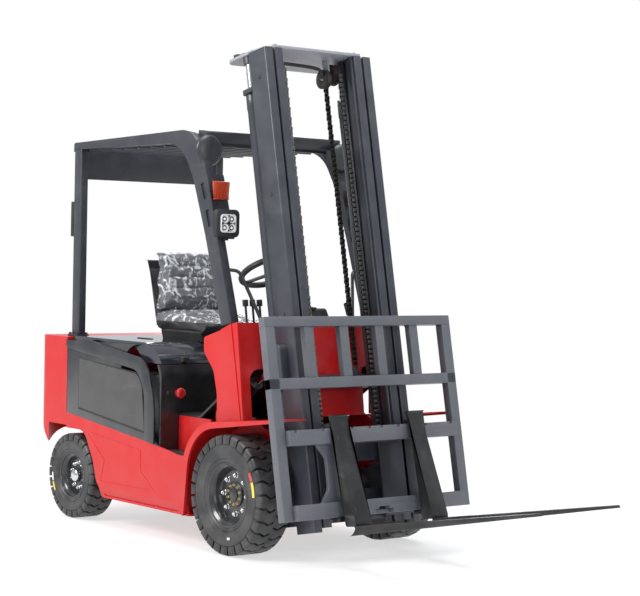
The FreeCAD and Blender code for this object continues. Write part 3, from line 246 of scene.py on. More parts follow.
mottle = mottleGroup()
dust = dustGroup()
grain = grainGroup()
scratches = scratchGroup()

usualLook = {"mottleScale": 3.0, "mottle": 0.25, "dust": 0.12, "fine": 500.0, "waves": 10.0, "scratch": 0.15,
             "bump": 0.08, "metal": 0.0, "coat": 0.0}
dustColour = (0.42, 0.4, 0.38, 1)


def finish(name, given):  # one material from its dictionary of looks
    spec = {**usualLook, **given}
    material, tree, shader, place = newMaterial(name)
    colour = spec["colour"]
    drift = spec.get("drift", [channel * 0.6 for channel in colour])
    bare = spec.get("bare", [min(1, channel * 1.8 + 0.05) for channel in colour])
    tones = {"Scale": spec["mottleScale"], "Colour": (*colour, 1), "Drift": (*drift, 1),
             "Amount": spec["mottle"]}
    tone = addNode(tree, "Group", tones, node_tree=mottle)
    film = addNode(tree, "Group", {"Dust": dustColour, "Amount": spec["dust"]}, node_tree=dust)
    skin = addNode(tree, "Group", {"Fine": spec["fine"], "Waves": spec["waves"], "Balance": 0.4},
                   node_tree=grain)
    worn = addNode(tree, "Group", {"Scale": 25.0, "Amount": spec["scratch"]}, node_tree=scratches)
    wornColour = addNode(tree, "Mix", data_type="RGBA")
    wornColour.inputs["B"].default_value = (*bare, 1)
    bump = addNode(tree, "Bump", {"Strength": spec["bump"], "Distance": 0.002})
    rough = addNode(tree, "MapRange", {"To Min": spec["rough"], "To Max": min(1.0, spec["rough"] + 0.25)})
    linkNodes(tree, (place, "Object", tone, "Vector"), (place, "Object", film, "Vector"),
              (place, "Object", skin, "Vector"), (place, "Object", worn, "Vector"),
              (tone, "Color", wornColour, "A"), (worn, "Mask", wornColour, "Factor"),
              (wornColour, "Result", film, "Colour"), (film, "Color", shader, "Base Color"),
              (film, "Mask", rough, "Value"), (rough, 0, shader, "Roughness"),
              (skin, "Height", bump, "Height"), (bump, "Normal", shader, "Normal"))
    fixed = {"Metallic": spec["metal"], "Coat Weight": spec["coat"], "Coat Roughness": 0.05}
    if "emit" in spec:
        fixed.update({"Emission Color": (*spec["emit"], 1), "Emission Strength": spec["emitPower"]})
    for label, value in fixed.items():
        shader.inputs[label].default_value = value
    return material


looks = {
    "redPaint": {"colour": (0.52, 0.005, 0.006), "drift": (0.4, 0.004, 0.005), "rough": 0.4, "coat": 0.1,
                 "mottle": 0.2, "bump": 0.03, "scratch": 0.02, "bare": (0.7, 0.2, 0.16)},
    "guardGrey": {"colour": (0.028, 0.030, 0.040), "rough": 0.38, "coat": 0.15, "bump": 0.06},
    "plateGrey": {"colour": (0.30, 0.31, 0.34), "rough": 0.4, "bump": 0.06},
    "sheaveBrown": {"colour": (0.05, 0.035, 0.03), "rough": 0.35, "metal": 0.5, "dust": 0.3},
    "mastGrey": {"colour": (0.036, 0.039, 0.052), "rough": 0.36, "coat": 0.15, "bump": 0.06, "scratch": 0.1},
    "frameGrey": {"colour": (0.105, 0.111, 0.128), "rough": 0.4, "coat": 0.1, "bump": 0.06, "scratch": 0.12},
    "forkGrey": {"colour": (0.030, 0.030, 0.032), "rough": 0.3, "metal": 0.35, "scratch": 0.35,
                 "bump": 0.05},
    "blackPlastic": {"colour": (0.014, 0.014, 0.016), "rough": 0.5, "bump": 0.25, "fine": 900.0},
    "blackPaint": {"colour": (0.012, 0.012, 0.014), "rough": 0.3, "coat": 0.3, "bump": 0.05},
    "hoodBlack": {"colour": (0.016, 0.018, 0.028), "rough": 0.12, "coat": 1.0, "bump": 0.015,
                  "scratch": 0.03},
    "bandBlack": {"colour": (0.012, 0.013, 0.019), "rough": 0.25, "coat": 0.4, "bump": 0.03},
    "coverGrey": {"colour": (0.060, 0.060, 0.061), "rough": 0.5, "bump": 0.2, "fine": 700.0, "mottle": 0.12},
    "tyreBlack": {"colour": (0.022, 0.023, 0.025), "rough": 0.42, "bump": 0.3, "fine": 260.0, "waves": 40.0,
                  "dust": 0.35, "mottle": 0.35, "mottleScale": 14.0},
    "wheelBlack": {"colour": (0.014, 0.015, 0.018), "rough": 0.25, "coat": 0.4, "dust": 0.1},
    "chainSteel": {"colour": (0.32, 0.31, 0.30), "rough": 0.3, "metal": 1.0, "bump": 0.1},
    "chrome": {"colour": (0.72, 0.72, 0.74), "rough": 0.1, "metal": 1.0, "dust": 0.05, "scratch": 0.05},
    "brass": {"colour": (0.62, 0.50, 0.22), "rough": 0.3, "metal": 1.0},
    "lampLens": {"colour": (0.70, 0.72, 0.74), "rough": 0.12, "coat": 0.6},
    "lampWhite": {"colour": (0.78, 0.79, 0.80), "rough": 0.35, "coat": 0.4, "dust": 0.05},
    "lampChip": {"colour": (0.86, 0.84, 0.70), "rough": 0.3, "emit": (1, 0.97, 0.85), "emitPower": 0.25,
                 "dust": 0.0},
    "orangeLens": {"colour": (0.42, 0.045, 0.01), "rough": 0.15, "coat": 0.8, "drift": (0.3, 0.03, 0.01)},
    "stopRed": {"colour": (0.52, 0.01, 0.014), "rough": 0.25, "coat": 0.4},
    "seatCloth": {"colour": (0.018, 0.018, 0.022), "rough": 0.6, "bump": 0.4, "fine": 600.0},
    "mirrorBack": {"colour": (0.03, 0.031, 0.036), "rough": 0.35, "bump": 0.1},
    "axleIron": {"colour": (0.02, 0.02, 0.022), "rough": 0.5, "bump": 0.2, "dust": 0.3},
    "batteryGrey": {"colour": (0.12, 0.13, 0.14), "rough": 0.5},
    "patchYellow": {"colour": (0.75, 0.62, 0.05), "rough": 0.4},
    "patchRed": {"colour": (0.55, 0.05, 0.07), "rough": 0.4},
    "patchWhite": {"colour": (0.72, 0.72, 0.70), "rough": 0.4},
}
materials = {name: finish(name, spec) for name, spec in looks.items()}


# tone and cover: the pale painted highlight along the film's creases, and how strongly it shows
filmAndHighlightLook = {"creases": {"Scale": 16, "Detail": 7, "Distortion": 1.8}, "tone": (0.82, 0.85, 0.9, 1),
            "rough": 0.14, "cover": {"From Min": 0.5, "From Max": 0.66, "To Min": 0.12, "To Max": 0.85}}


def clearFilm(spec):  # a thin clear film with a painted highlight: a pale tone laid along its creases
    material, tree, shader, place = newMaterial("clearFilm")
    creases = addNode(tree, "TexNoise", spec["creases"])
    cover = addNode(tree, "MapRange", spec["cover"])
    bump = addNode(tree, "Bump", {"Strength": 0.7, "Distance": 0.01})
    shader.inputs["Base Color"].default_value = spec["tone"]
    shader.inputs["Roughness"].default_value = spec["rough"]
    linkNodes(tree, (place, "Object", creases, "Vector"), (creases, "Fac", cover, "Value"),
              (cover, 0, shader, "Alpha"), (creases, "Fac", bump, "Height"),
              (bump, "Normal", shader, "Normal"))
    return material


materials["clearFilm"] = clearFilm(filmAndHighlightLook)

nodeLooks = {
    "redPaint": "chassis_frame counterweight cowl", "guardGrey": "lamp_brackets overhead_guard",
    "mastGrey": "inner_mast lift_barrels outer_mast", "frameGrey": "carriage load_backrest",
    "forkGrey": "fork_pins forks",
    "blackPlastic": "control_levers dash hood_latch pedals seat_base steering_wheel work_lamps",
    "blackPaint": "floor_plate front_cover grab_handles tilt_barrel_left tilt_barrel_right",
    "hoodBlack": "hood", "bandBlack": "cover_bands", "coverGrey": "side_covers",
    "tyreBlack": "front_tyre_left front_tyre_right rear_tyre_left rear_tyre_right",
    "wheelBlack": "front_wheel_left front_wheel_right rear_wheel_left rear_wheel_right",
    "chainSteel": "chain_sheaves lift_chains tow_pin", "chrome": "lift_rods tilt_rod_left tilt_rod_right",
    "orangeLens": "signal_lamps", "stopRed": "stop_button", "seatCloth": "seat_back seat_cushion",
    "mirrorBack": "mirrors", "axleIron": "drive_axle knuckle_left knuckle_right steer_axle",
    "batteryGrey": "battery",
}
for lookName, nodeNames in nodeLooks.items():
    for nodeName in nodeNames.split():
        nodes[nodeName].data.materials.clear()
        nodes[nodeName].data.materials.append(materials[lookName])
print("materials ready")

# modelling helpers

axisX = Vector((1, 0, 0))
axisY = Vector((0, 1, 0))


def onlySelect(piece):
    bpy.ops.object.select_all(action="DESELECT")
    piece.select_set(True)
    bpy.context.view_layer.objects.active = piece


def editPiece(piece, kind="VERT"):
    onlySelect(piece)
    bpy.ops.object.mode_set(mode="EDIT")
    bpy.ops.mesh.select_mode(type=kind)
    bpy.ops.mesh.select_all(action="SELECT")


def leaveEdit():
    bpy.ops.object.mode_set(mode="OBJECT")


def closeEdit():  # every face looks outward when the edit ends
    bpy.ops.mesh.select_all(action="SELECT")
    bpy.ops.mesh.normals_make_consistent(inside=False)
    leaveEdit()


def roundCorners(outline, steps):  # (a, b, radius) corners become short arcs
    flat = []
    for index, corner in enumerate(outline):
        here = Vector(corner[:2])
        if len(corner) < 3:
            flat.append(here)
            continue
        back = (Vector(outline[index - 1][:2]) - here).normalized()
        ahead = (Vector(outline[(index + 1) % len(outline)][:2]) - here).normalized()
        half = back.angle(ahead) / 2
        centre = here + (back + ahead).normalized() * (corner[2] / math.sin(half))
        start = here + back * (corner[2] / math.tan(half)) - centre
        sweep = math.pi - 2 * half
        if start.x * ahead.y - start.y * ahead.x < 0:
            sweep = -sweep
        for step in range(steps + 1):
            flat.append(centre + Matrix.Rotation(sweep * step / steps, 2) @ start)
    return flat


planes = {
    "side": lambda a, b, c: vehicle(a, c, b),
    "plan": lambda a, b, c: vehicle(a, b, c),
    "front": lambda a, b, c: vehicle(c, a, b),
    "mastSide": lambda a, b, c: onMast(a, c, b),
    "mastPlan": lambda a, b, c: onMast(a, b, c),
    "mastFront": lambda a, b, c: onMast(c, a, b),
}


def traceOutline(name, points, filled=True):
    bpy.ops.object.select_all(action="DESELECT")
    bpy.ops.mesh.primitive_plane_add(size=0.01, location=points[0])
    piece = bpy.context.object
    piece.name = name
    bpy.ops.object.mode_set(mode="EDIT")
    bpy.ops.mesh.select_mode(type="VERT")
    bpy.ops.mesh.select_all(action="SELECT")
    bpy.ops.mesh.merge(type="CENTER")
    for start, end in zip(points, points[1:]):
        bpy.ops.mesh.extrude_vertices_move(TRANSFORM_OT_translate={"value": end - start})
    if filled:
        bpy.ops.mesh.select_all(action="SELECT")
        bpy.ops.mesh.edge_face_add()
    leaveEdit()
    bpy.ops.object.transform_apply(location=True, rotation=False, scale=False)
    return piece


def addModifier(piece, kind, **values):
    onlySelect(piece)
    modifier = piece.modifiers.new(kind.lower(), kind)
    for label, value in values.items():
        setattr(modifier, label, value)
    bpy.ops.object.modifier_apply(modifier=modifier.name)


def softenEdges(piece, width, segments=2, angle=30):
    addModifier(piece, "BEVEL", width=width / 1000, segments=segments, limit_method="ANGLE",
                angle_limit=math.radians(angle))


def plate(name, plane, outline, start, end, bevel=1.5, segments=2, steps=6):
    lift = planes[plane]
    points = [lift(corner.x, corner.y, start) for corner in roundCorners(outline, steps)]
    piece = traceOutline(name, points)
    editPiece(piece)
    bpy.ops.mesh.extrude_region_move(TRANSFORM_OT_translate={"value": lift(0, 0, end) - lift(0, 0, start)})
    closeEdit()
    if bevel:
        softenEdges(piece, bevel, segments)
    return piece


def bar(name, plane, a, b, c, bevel=1.5, segments=2):  # a straight bar from three spans
    outline = [(a[0], b[0]), (a[1], b[0]), (a[1], b[1]), (a[0], b[1])]
    return plate(name, plane, outline, c[0], c[1], bevel, segments)


def lathe(name, profile, centre, axis, steps=72):
    axis = Vector(axis)
    across = axisX if abs(axis.x) < 0.5 else axisY
    across = (across - axis * across.dot(axis)).normalized()
    points = [centre + axis * (along / 1000) + across * (radius / 1000) for radius, along in profile]
    piece = traceOutline(name, points, filled=False)
    editPiece(piece)
    bpy.ops.mesh.spin(steps=steps, angle=2 * math.pi, center=centre, axis=axis)
    bpy.ops.mesh.select_all(action="SELECT")
    bpy.ops.mesh.remove_doubles(threshold=0.00004)
    closeEdit()
    return piece


def rodBetween(name, start, end, radius, sides=24, chamfer=1.0):
    length = (end - start).length * 1000
    profile = [(0, 0), (radius - chamfer, 0), (radius, chamfer), (radius, length - chamfer),
               (radius - chamfer, length), (0, length)]
    return lathe(name, profile, start, (end - start).normalized(), sides)


def tubeAlong(name, points, radius, smooth=True, sides=6):
    curve = bpy.data.curves.new(name, "CURVE")
    curve.dimensions = "3D"
    spline = curve.splines.new("NURBS" if smooth else "POLY")
    spline.points.add(len(points) - 1)
    for target, point in zip(spline.points, points):
        target.co = (*point, 1)
    if smooth:
        spline.order_u = 3
        spline.use_endpoint_u = True
        spline.resolution_u = 8
    curve.bevel_depth = radius / 1000
    curve.bevel_resolution = sides
    curve.use_fill_caps = True
    piece = bpy.data.objects.new(name, curve)
    bpy.context.collection.objects.link(piece)
    onlySelect(piece)
    bpy.ops.object.convert(target="MESH")
    return bpy.context.object


def copyPiece(piece, matrix):
    twin = piece.copy()
    twin.data = piece.data.copy()
    bpy.context.collection.objects.link(twin)
    twin.data.transform(matrix)
    return twin


def joinPieces(name, pieces):
    bpy.ops.object.select_all(action="DESELECT")
    for piece in pieces:
        piece.select_set(True)
    bpy.context.view_layer.objects.active = pieces[0]
    bpy.ops.object.join()
    pieces[0].name = name
    return pieces[0]


def turnAbout(centre, axis, angle):
    return Matrix.Translation(centre) @ Matrix.Rotation(angle, 4, Vector(axis)) @ Matrix.Translation(-centre)


def aroundAxis(piece, centre, axis, count):
    ring = [piece]
    for index in range(1, count):
        ring.append(copyPiece(piece, turnAbout(centre, axis, 2 * math.pi * index / count)))
    return joinPieces(piece.name, ring)


def alongLine(piece, step, count):
    row = [piece] + [copyPiece(piece, Matrix.Translation(step * index)) for index in range(1, count)]
    return joinPieces(piece.name, row)


def mirrorAcross(piece, name):  # the same piece on the other side, its own mesh
    twin = copyPiece(piece, Matrix.Scale(-1, 4, (0, 1, 0)))
    twin.data.flip_normals()
    twin.name = name
    return twin


def bothSides(piece):
    return joinPieces(piece.name, [piece, mirrorAcross(piece, piece.name + "Left")])


def carve(piece, cutters):
    for cutter in cutters:
        addModifier(piece, "BOOLEAN", object=cutter, operation="DIFFERENCE", solver="EXACT")
        bpy.data.objects.remove(cutter)
    return piece


def finishPiece(piece, body, look, slotName, replaced=(), angle=35):
    onlySelect(piece)
    bpy.ops.object.shade_smooth_by_angle(angle=math.radians(angle))
    piece.data.materials.clear()
    piece.data.materials.append(materials[look])
    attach(piece, body)
    if replaced:
        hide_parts(*replaced)
    return piece


# tyres: a turned carcass with two rows of bent lugs

frontTyre = {"radius": 299, "half": 95, "rim": 161, "lugs": 28, "ridge": 249, "centre": (0, -479.5, 299),
             "body": "front_wheel", "node": "front_tyre", "groove": 21}
rearTyre = {"radius": 235, "half": 80, "rim": 127, "lugs": 24, "ridge": 194, "centre": (-1470, -487, 235),
            "body": "rear_wheel", "node": "rear_tyre", "groove": 17}
# shares of the pitch and of the half width; the chamfer in metres
lugShape = {"wide": 0.41, "bend": 0.30, "knee": 0.70, "ankle": 0.36, "chamfer": 0.013}
outward = Vector((0, -1, 0))  # away from the machine on its right-hand side


def addTyre(spec):
    radius, half, rim = spec["radius"], spec["half"], spec["rim"]
    ridge = spec["ridge"]
    tread = radius - spec["groove"]
    side = [(rim, half - 14), (rim + 3, half - 10), (rim + 12, half - 6), (rim + 17, half - 4.5),
            (rim + 19, half - 7), (rim + 22, half - 4), (ridge - 14, half - 1), (ridge - 3, half - 0.5),
            (ridge, half - 1.5), (ridge + 1.5, half - 5), (tread - 12, half - 8), (tread - 3, half - 14),
            (tread, half - 26)]
    profile = side + [(r, -v) for r, v in reversed(side)]
    centre = vehicle(*spec["centre"])
    carcass = lathe(spec["node"] + "_carcass", profile, centre, outward, 112)
    pitch = 2 * math.pi * radius / spec["lugs"]
    wide, bend = lugShape["wide"] * pitch, lugShape["bend"] * pitch
    shoulder, knee, ankle = half - 0.5, half * lugShape["knee"], half * lugShape["ankle"]
    outline = [(shoulder, -wide), (knee, -wide), (ankle, bend - wide), (3, bend * 0.25 - wide),
               (-5, bend * 0.25), (3, bend * 0.25 + wide), (ankle, bend + wide), (knee, wide),
               (shoulder, wide)]
    rows = []
    for sign, phase in ((1, 0.0), (-1, 0.5)):
        points = [centre + Vector((along, -sign * across, ridge + 3)) / 1000 for across, along in outline]
        lug = traceOutline(spec["node"] + "_lug", points)
        editPiece(lug)
        tall = (radius - 0.5 - ridge - 3) / 1000
        bpy.ops.mesh.extrude_region_move(TRANSFORM_OT_translate={"value": (0, 0, tall)})
        bpy.ops.mesh.select_all(action="SELECT")
        bpy.ops.mesh.normals_make_consistent(inside=False)
        bpy.ops.mesh.select_mode(type="EDGE")
        bpy.ops.mesh.select_all(action="DESELECT")
        leaveEdit()
        for edge in lug.data.edges:
            ends = [lug.data.vertices[index].co for index in edge.vertices]
            high = all(end.z > centre.z + (radius - 2) / 1000 for end in ends)
            outside = all(abs(end.y - centre.y) > (half - 1) / 1000 for end in ends)
            edge.select = high and outside
        onlySelect(lug)
        bpy.ops.object.mode_set(mode="EDIT")
        bpy.ops.mesh.bevel(offset=lugShape["chamfer"], segments=3)
        leaveEdit()
        for vertex in lug.data.vertices:  # the flat lug is wrapped onto the round tread
            angle = (vertex.co.x - centre.x) / (radius / 1000)
            reach = vertex.co.z - centre.z
            vertex.co.x = centre.x + reach * math.sin(angle)
            vertex.co.z = centre.z + reach * math.cos(angle)
        softenEdges(lug, 2.2, 2, 28)
        lug.data.transform(turnAbout(centre, axisY, 2 * math.pi * phase / spec["lugs"]))
        rows.append(aroundAxis(lug, centre, axisY, spec["lugs"]))
    tyre = joinPieces(spec["node"] + "_right_body", [carcass] + rows)
    twin = mirrorAcross(tyre, spec["node"] + "_left_body")
    for piece, side in ((tyre, "right"), (twin, "left")):
        finishPiece(piece, spec["body"] + "_" + side, "tyreBlack", "tyre_black", [spec["node"] + "_" + side])


addTyre(frontTyre)
addTyre(rearTyre)
print("tyres made")

# wheels: dished discs with nuts, hub bolts and caps

frontWheel = {
    "centre": (0, -479.5, 299), "body": "front_wheel", "node": "front_wheel",
    "profile": [(0, 48), (28, 47.5), (33, 45), (35, 40), (58, 38), (62, 35), (63, 28), (112, 25), (119, 27),
                (124, 34), (128, 50), (133, 66), (139, 73), (149, 78), (153, 82.5), (160, 82.5), (162, 80),
                (162, 74), (152, 70), (140, 68), (140, -68), (152, -72), (160, -76), (160, -82.5),
                (150, -82.5), (136, -66), (128, 0), (120, 12), (64, 12), (56, -80), (39, -80), (39, 12),
                (0, 12)],
    "nuts": (8, 97, 25, 14, 14), "studs": (10, 49, 37.5, 6.5, 6)}  # count, circle, base, radius and height
rearWheel = {
    "centre": (-1470, -487, 235), "body": "rear_wheel", "node": "rear_wheel",
    "profile": [(0, 40), (38, 40), (40, 30), (52, 27), (54, 22), (84, 20), (90, 22), (94, 30), (97, 42),
                (102, 52), (110, 58), (117, 62), (119, 67.5), (126, 67.5), (128, 65), (128, 60), (118, 57),
                (106, 55), (106, -55), (118, -58), (127, -61), (127, -67.5), (116, -67.5), (102, -54),
                (95, 0), (88, 8), (54, 8), (46, -66), (31, -66), (31, 24), (0, 24)],
    "nuts": (10, 70, 20.5, 10.5, 10.5),
    "cap": [(0, 62), (14, 61.5), (25, 59.5), (33, 55), (37, 48), (38, 41), (38, 28), (41, 27)]}


def addNut(name, spec, circle, base, radius, height):
    centre = vehicle(*spec["centre"])
    foot = centre + outward * (base / 1000) + Vector((0, 0, circle / 1000))
    washer = [(0, 0), (radius * 1.15, 0), (radius * 1.15, 2), (radius * 0.9, 4), (0, 4)]
    seat = lathe(name, washer, foot, outward, 20)
    middle = foot + outward * (height / 2000)
    bpy.ops.mesh.primitive_cylinder_add(vertices=6, radius=radius / 1000, depth=height / 1000,
                                        location=middle, rotation=(math.pi / 2, 0, 0))
    head = bpy.context.object
    bpy.ops.object.transform_apply(location=True, rotation=True, scale=True)
    softenEdges(head, radius * 0.12, 2)
    end = [(0, height + 5), (radius * 0.4, height + 5), (radius * 0.5, height + 4),
           (radius * 0.5, height - 2)]
    return joinPieces(name, [seat, head, lathe(name + "Stud", end, foot, outward, 16)])


def addWheel(spec):
    node, centre = spec["node"], vehicle(*spec["centre"])
    disc = lathe(node + "_right_disc", spec["profile"], centre, outward, 96)
    fittings = [("disc", disc, "wheelBlack", "rim_black")]
    for label, look in (("nuts", "chrome"), ("studs", "brass")):
        if label in spec:
            count, circle, base, radius, height = spec[label]
            nut = addNut(node + "_" + label, spec, circle, base, radius, height)
            fittings.append((label, aroundAxis(nut, centre, axisY, count), look, "rod_chrome"))
    if "cap" in spec:
        cap = lathe(node + "_cap", spec["cap"], centre, outward, 64)
        fittings.append(("cap", cap, "chrome", "rod_chrome"))
    for label, piece, look, slotName in fittings:
        piece.name = node + "_right_" + label
        twin = mirrorAcross(piece, node + "_left_" + label)
        for item, side in ((piece, "_right"), (twin, "_left")):
            finishPiece(item, spec["body"] + side, look, slotName, [node + side] if label == "disc" else [])


addWheel(frontWheel)
addWheel(rearWheel)
print("wheels made")

# mast: rails with rolled edges, members, brackets and rollers

railShape = {"front": 400, "rear": 258, "flange": 18, "outer": (346, 296, 346, 332, -180),
             "inner": (284, 234, 264, 250, -160), "top": 2240}
roller = {"radius": 52.7, "d": 329}  # the same roller runs in both rails and on the carriage


def addRail(name, out, inner, webOut, webIn, base):
    front, rear, flange = railShape["front"], railShape["rear"], railShape["flange"]
    outline = [(front, -out, 7), (front, -inner, 4), (front - flange, -inner, 4),
               (front - flange, -webIn, 12), (rear + flange, -webIn, 12), (rear + flange, -inner, 4),
               (rear, -inner, 4), (rear, -out, 7)]
    if webOut < out:
        outline += [(rear + flange, -out, 4), (rear + flange, -webOut, 12), (front - flange, -webOut, 12),
                    (front - flange, -out, 4)]
    return plate(name, "mastPlan", outline, base, railShape["top"], bevel=1.0)


def addRoller(name, near, far, s):
    return rodBetween(name, onMast(roller["d"], near, s), onMast(roller["d"], far, s), roller["radius"], 48,
                      3)


def group(name, pieces, body, look, slotName, replaced=(), mirrored=False, angle=35):
    whole = joinPieces(name, pieces)
    if mirrored:
        whole = bothSides(whole)
    return finishPiece(whole, body, look, slotName, replaced, angle)


def weld(name, start, end, radius=4):  # a bead of weld along a joint
    return tubeAlong(name, [start.lerp(end, share / 4) for share in range(5)], radius, False, 3)


outerMast = {
    "members": [((140, 165), (-346, 346), (538, 608)), ((140, 165), (-346, 346), (-140, 20))],
    "tabs": [((140, 259), (-346, -337), (538, 608)), ((140, 259), (-346, -332), (-140, 149.7)),
             ((140, 252), (-346, -264), (126, 149.7)), ((164, 215), (-197, -173), (580, 639))],
    "clamp": [(259, -346), (159, -340, 30), (159, -264, 30), (252, -264), (252, -298), (259, -298)],
    "clampSpan": (2045.3, 2067.3),
    "bracket": [(264, 576, 8), (333, 576, 8), (333, 751, 30), (264, 751, 30)],
    "slot": ((218, 321), (-386, -358), (611, 705)), "pin": (289, 671, 14),
    "arm": [(-74.3, -36, 83), (262, -36), (262, 132, 6), (-74.3, 132, 83)], "bore": (9.7, 48, 62.1),
    "rollerAt": 2150, "bolts": (2100, 1500, 900)}


def addOuterMast(spec):
    across = [bar("outerMember", "mastPlan", *spans, 3) for spans in spec["members"]]
    side = [addRail("outerRail", *railShape["outer"])]
    side += [bar("mastTab", "mastPlan", *spans, 2) for spans in spec["tabs"]]
    side.append(plate("barrelClamp", "mastPlan", spec["clamp"], *spec["clampSpan"], bevel=3))
    bracket = plate("tiltBracket", "mastSide", spec["bracket"], -344, -396, bevel=2.5)
    side.append(carve(bracket, [bar("slot", "mastPlan", *spec["slot"], 0)]))
    d, s, radius = spec["pin"]
    side.append(rodBetween("tiltPin", onMast(d, -352, s), onMast(d, -392, s), radius, 32))
    arm = plate("pivotArm", "mastSide", spec["arm"], -306, -338, bevel=2, steps=16)
    d, s, radius = spec["bore"]
    side.append(carve(arm, [rodBetween("bore", onMast(d, -290, s), onMast(d, -360, s), radius, 48)]))
    side.append(addRoller("topRoller", -266, -344, spec["rollerAt"]))
    for s in spec["bolts"]:
        side.append(rodBetween("bolt", onMast(330, -345, s), onMast(330, -350, s), 11, 6))
    group("outerMastSides", side, "outer_mast", "mastGrey", "mast_grey", ["outer_mast"], mirrored=True)
    group("outerMastMembers", across, "outer_mast", "mastGrey", "mast_grey")


addOuterMast(outerMast)

innerMast = {
    "plate": [(396, -284, 20), (396, 284, 20), (288, 334, 60), (44, 334, 56), (44, -334, 56),
              (288, -334, 60)],
    "plateSpan": (2240, 2256),
    "blocks": [((96, 128), (-316, -284), (2256, 2278)), ((150, 176), (-306, -280), (2256, 2272))],
    "boltsAt": [(330, -259), (372, -259), (330, 259), (372, 259)]}


def addInnerMast(spec):
    rail = bothSides(addRail("innerRail", *railShape["inner"]))
    member = bar("innerMember", "mastPlan", (232, 259), (-258, 258), (156, 246), 3)
    rollers = bothSides(addRoller("outerRoller", -260, -330, -90))
    group("innerMastRails", [rail, member, rollers], "inner_mast", "mastGrey", "mast_grey", ["inner_mast"])
    top = plate("innerMastPlate", "mastPlan", spec["plate"], *spec["plateSpan"], bevel=3, steps=14)
    arm = bar("pulleyArm", "mastPlan", (248, 292), (142, 154), (2108, 2241), 2)
    pin = rodBetween("pulleyPin", onMast(270, 107, 2138), onMast(270, 143, 2138), 9)
    group("innerMastPlate", [top, arm, pin], "inner_mast", "plateGrey", "mast_grey")
    bolts = [rodBetween("bolt", onMast(d, y, 2256), onMast(d, y, 2264), 10, 6) for d, y in spec["boltsAt"]]
    blocks = [bar("plateBlock", "mastPlan", *spans, 3) for spans in spec["blocks"]]
    group("innerMastBolts", bolts + blocks, "inner_mast", "mastGrey", "mast_grey")


addInnerMast(innerMast)

liftCylinder = {
    "profile": [(0, 150), (34, 150), (36, 152), (36, 178), (34, 182), (34, 1962), (36, 1965), (36, 2040),
                (33, 2044.5), (24, 2045), (24, 2030), (0, 2030)],
    "place": (205, -300), "rod": (171, 2239.7, 22), "socket": (2200, 2239.5, 31)}
sheave = {
    "profile": [(17, -16), (52, -16), (55, -14), (55, -11), (50, -8), (50, 8), (55, 11), (55, 14), (52, 16),
                (17, 16), (17, 20), (0, 20)],
    "places": [(270, -185, 2165), (270, 185, 2165)], "small": (270, 125, 2138), "share": (0.91, 0.9)}
hose = {"points": [(290, -233, 2196), (290, 60, 2196), (284, 108, 2170), (276, 112, 2140)], "radius": 9}


def addLiftCylinders(spec):
    along = (onMast(0, 0, 1) - onMast(0, 0, 0)).normalized()
    d, y = spec["place"]
    barrel = lathe("liftBarrels", spec["profile"], onMast(d, y, 0), along, 48)
    port = rodBetween("port", onMast(d, y, 1920), onMast(160, y, 1920), 9, 16)
    group("liftBarrels", [barrel, port], "outer_mast", "mastGrey", "mast_grey", ["lift_barrels"],
          mirrored=True)
    low, high, radius = spec["rod"]
    rod = rodBetween("liftRods", onMast(d, y, low), onMast(d, y, high), radius, 48)
    group("liftRods", [rod], "inner_mast", "chrome", "rod_chrome", ["lift_rods"], mirrored=True)
    low, high, radius = spec["socket"]
    fitting = rodBetween("rodSocket", onMast(d, y, low), onMast(d, y, high), radius, 32, 2)
    hoseEnd = rodBetween("hoseEnd", onMast(170, y, 2030), onMast(170, y, 1985), 13, 6)
    group("rodSockets", [fitting], "inner_mast", "mastGrey", "mast_grey", mirrored=True)
    group("hoseEnds", [hoseEnd], "outer_mast", "blackPlastic", "mast_grey", mirrored=True)
    wheels = [lathe("sheave", sheave["profile"], onMast(*place), axisY, 64) for place in sheave["places"]]
    thin, low = sheave["share"]
    small = [(radius * thin, width * low) for radius, width in sheave["profile"]]
    wheels.append(lathe("sheave", small, onMast(*sheave["small"]), axisY, 64))
    group("chainSheaves", wheels, "inner_mast", "sheaveBrown", "rod_chrome", ["chain_sheaves"])
    pipe = tubeAlong("hosePipe", [onMast(*point) for point in hose["points"]], hose["radius"])
    group("hosePipe", [pipe], "inner_mast", "blackPlastic", "mast_grey")


addLiftCylinders(liftCylinder)

chainShape = {"pitch": 25.4, "y": -185, "front": (332.3, 275), "back": (207.7, 645), "top": 2165,
              "rows": ((0, (-9.5, -3.2, 3.2, 9.5)), (1, (-12.2, -6.3, 0, 6.3, 12.2)))}


def addChain(name, d, low, replaced=()):  # leaves on pins, laid one above the other along the mast
    pitch, middle = chainShape["pitch"], chainShape["y"]
    count = int((chainShape["top"] - low) / pitch)
    links = []
    for offset, row in chainShape["rows"]:
        start = low + offset * pitch
        end = start + pitch
        outline = [(d - 8, start - 6, 6), (d + 8, start - 6, 6), (d + 5.5, start + pitch / 2),
                   (d + 8, end + 6, 6), (d - 8, end + 6, 6), (d - 5.5, start + pitch / 2)]
        for y in row:
            near, far = middle + y - 1.4, middle + y + 1.4
            links.append(plate(name, "mastSide", outline, near, far, bevel=0, steps=3))
    near, far = middle - 13.4, middle + 13.4
    for s in (low, low + pitch):
        links.append(rodBetween(name, onMast(d, near, s), onMast(d, far, s), 4.2, 10, 0.6))
    link = joinPieces(name, links)
    step = onMast(0, 0, 2 * pitch) - onMast(0, 0, 0)
    chain = bothSides(alongLine(link, step, count // 2))
    finishPiece(chain, "inner_mast", "chainSteel", "chain_steel", replaced)


addChain("frontChains", *chainShape["front"], ["lift_chains"])
addChain("rearChains", *chainShape["back"])
print("mast made")

# carriage, load backrest and forks

carriage = {
    "bars": ((494, 532), (236, 310), (-118, -44)),
    "notches": (-500, -330, -150, -40, 40, 150, 330, 500),
    "endPlate": [(-207, -108), (-356, -108), (-356, -48, 22), (-303, 22, 60), (-303, 172, 60),
                 (-356, 242, 22), (-356, 302), (-207, 302)],
    "rollerPlate": [(289, -128, 30), (495, -128), (495, 310), (289, 310, 30)],
    "rollers": (-68, 257.3), "half": 541.7, "ties": ((236, 256), (-118, -98))}


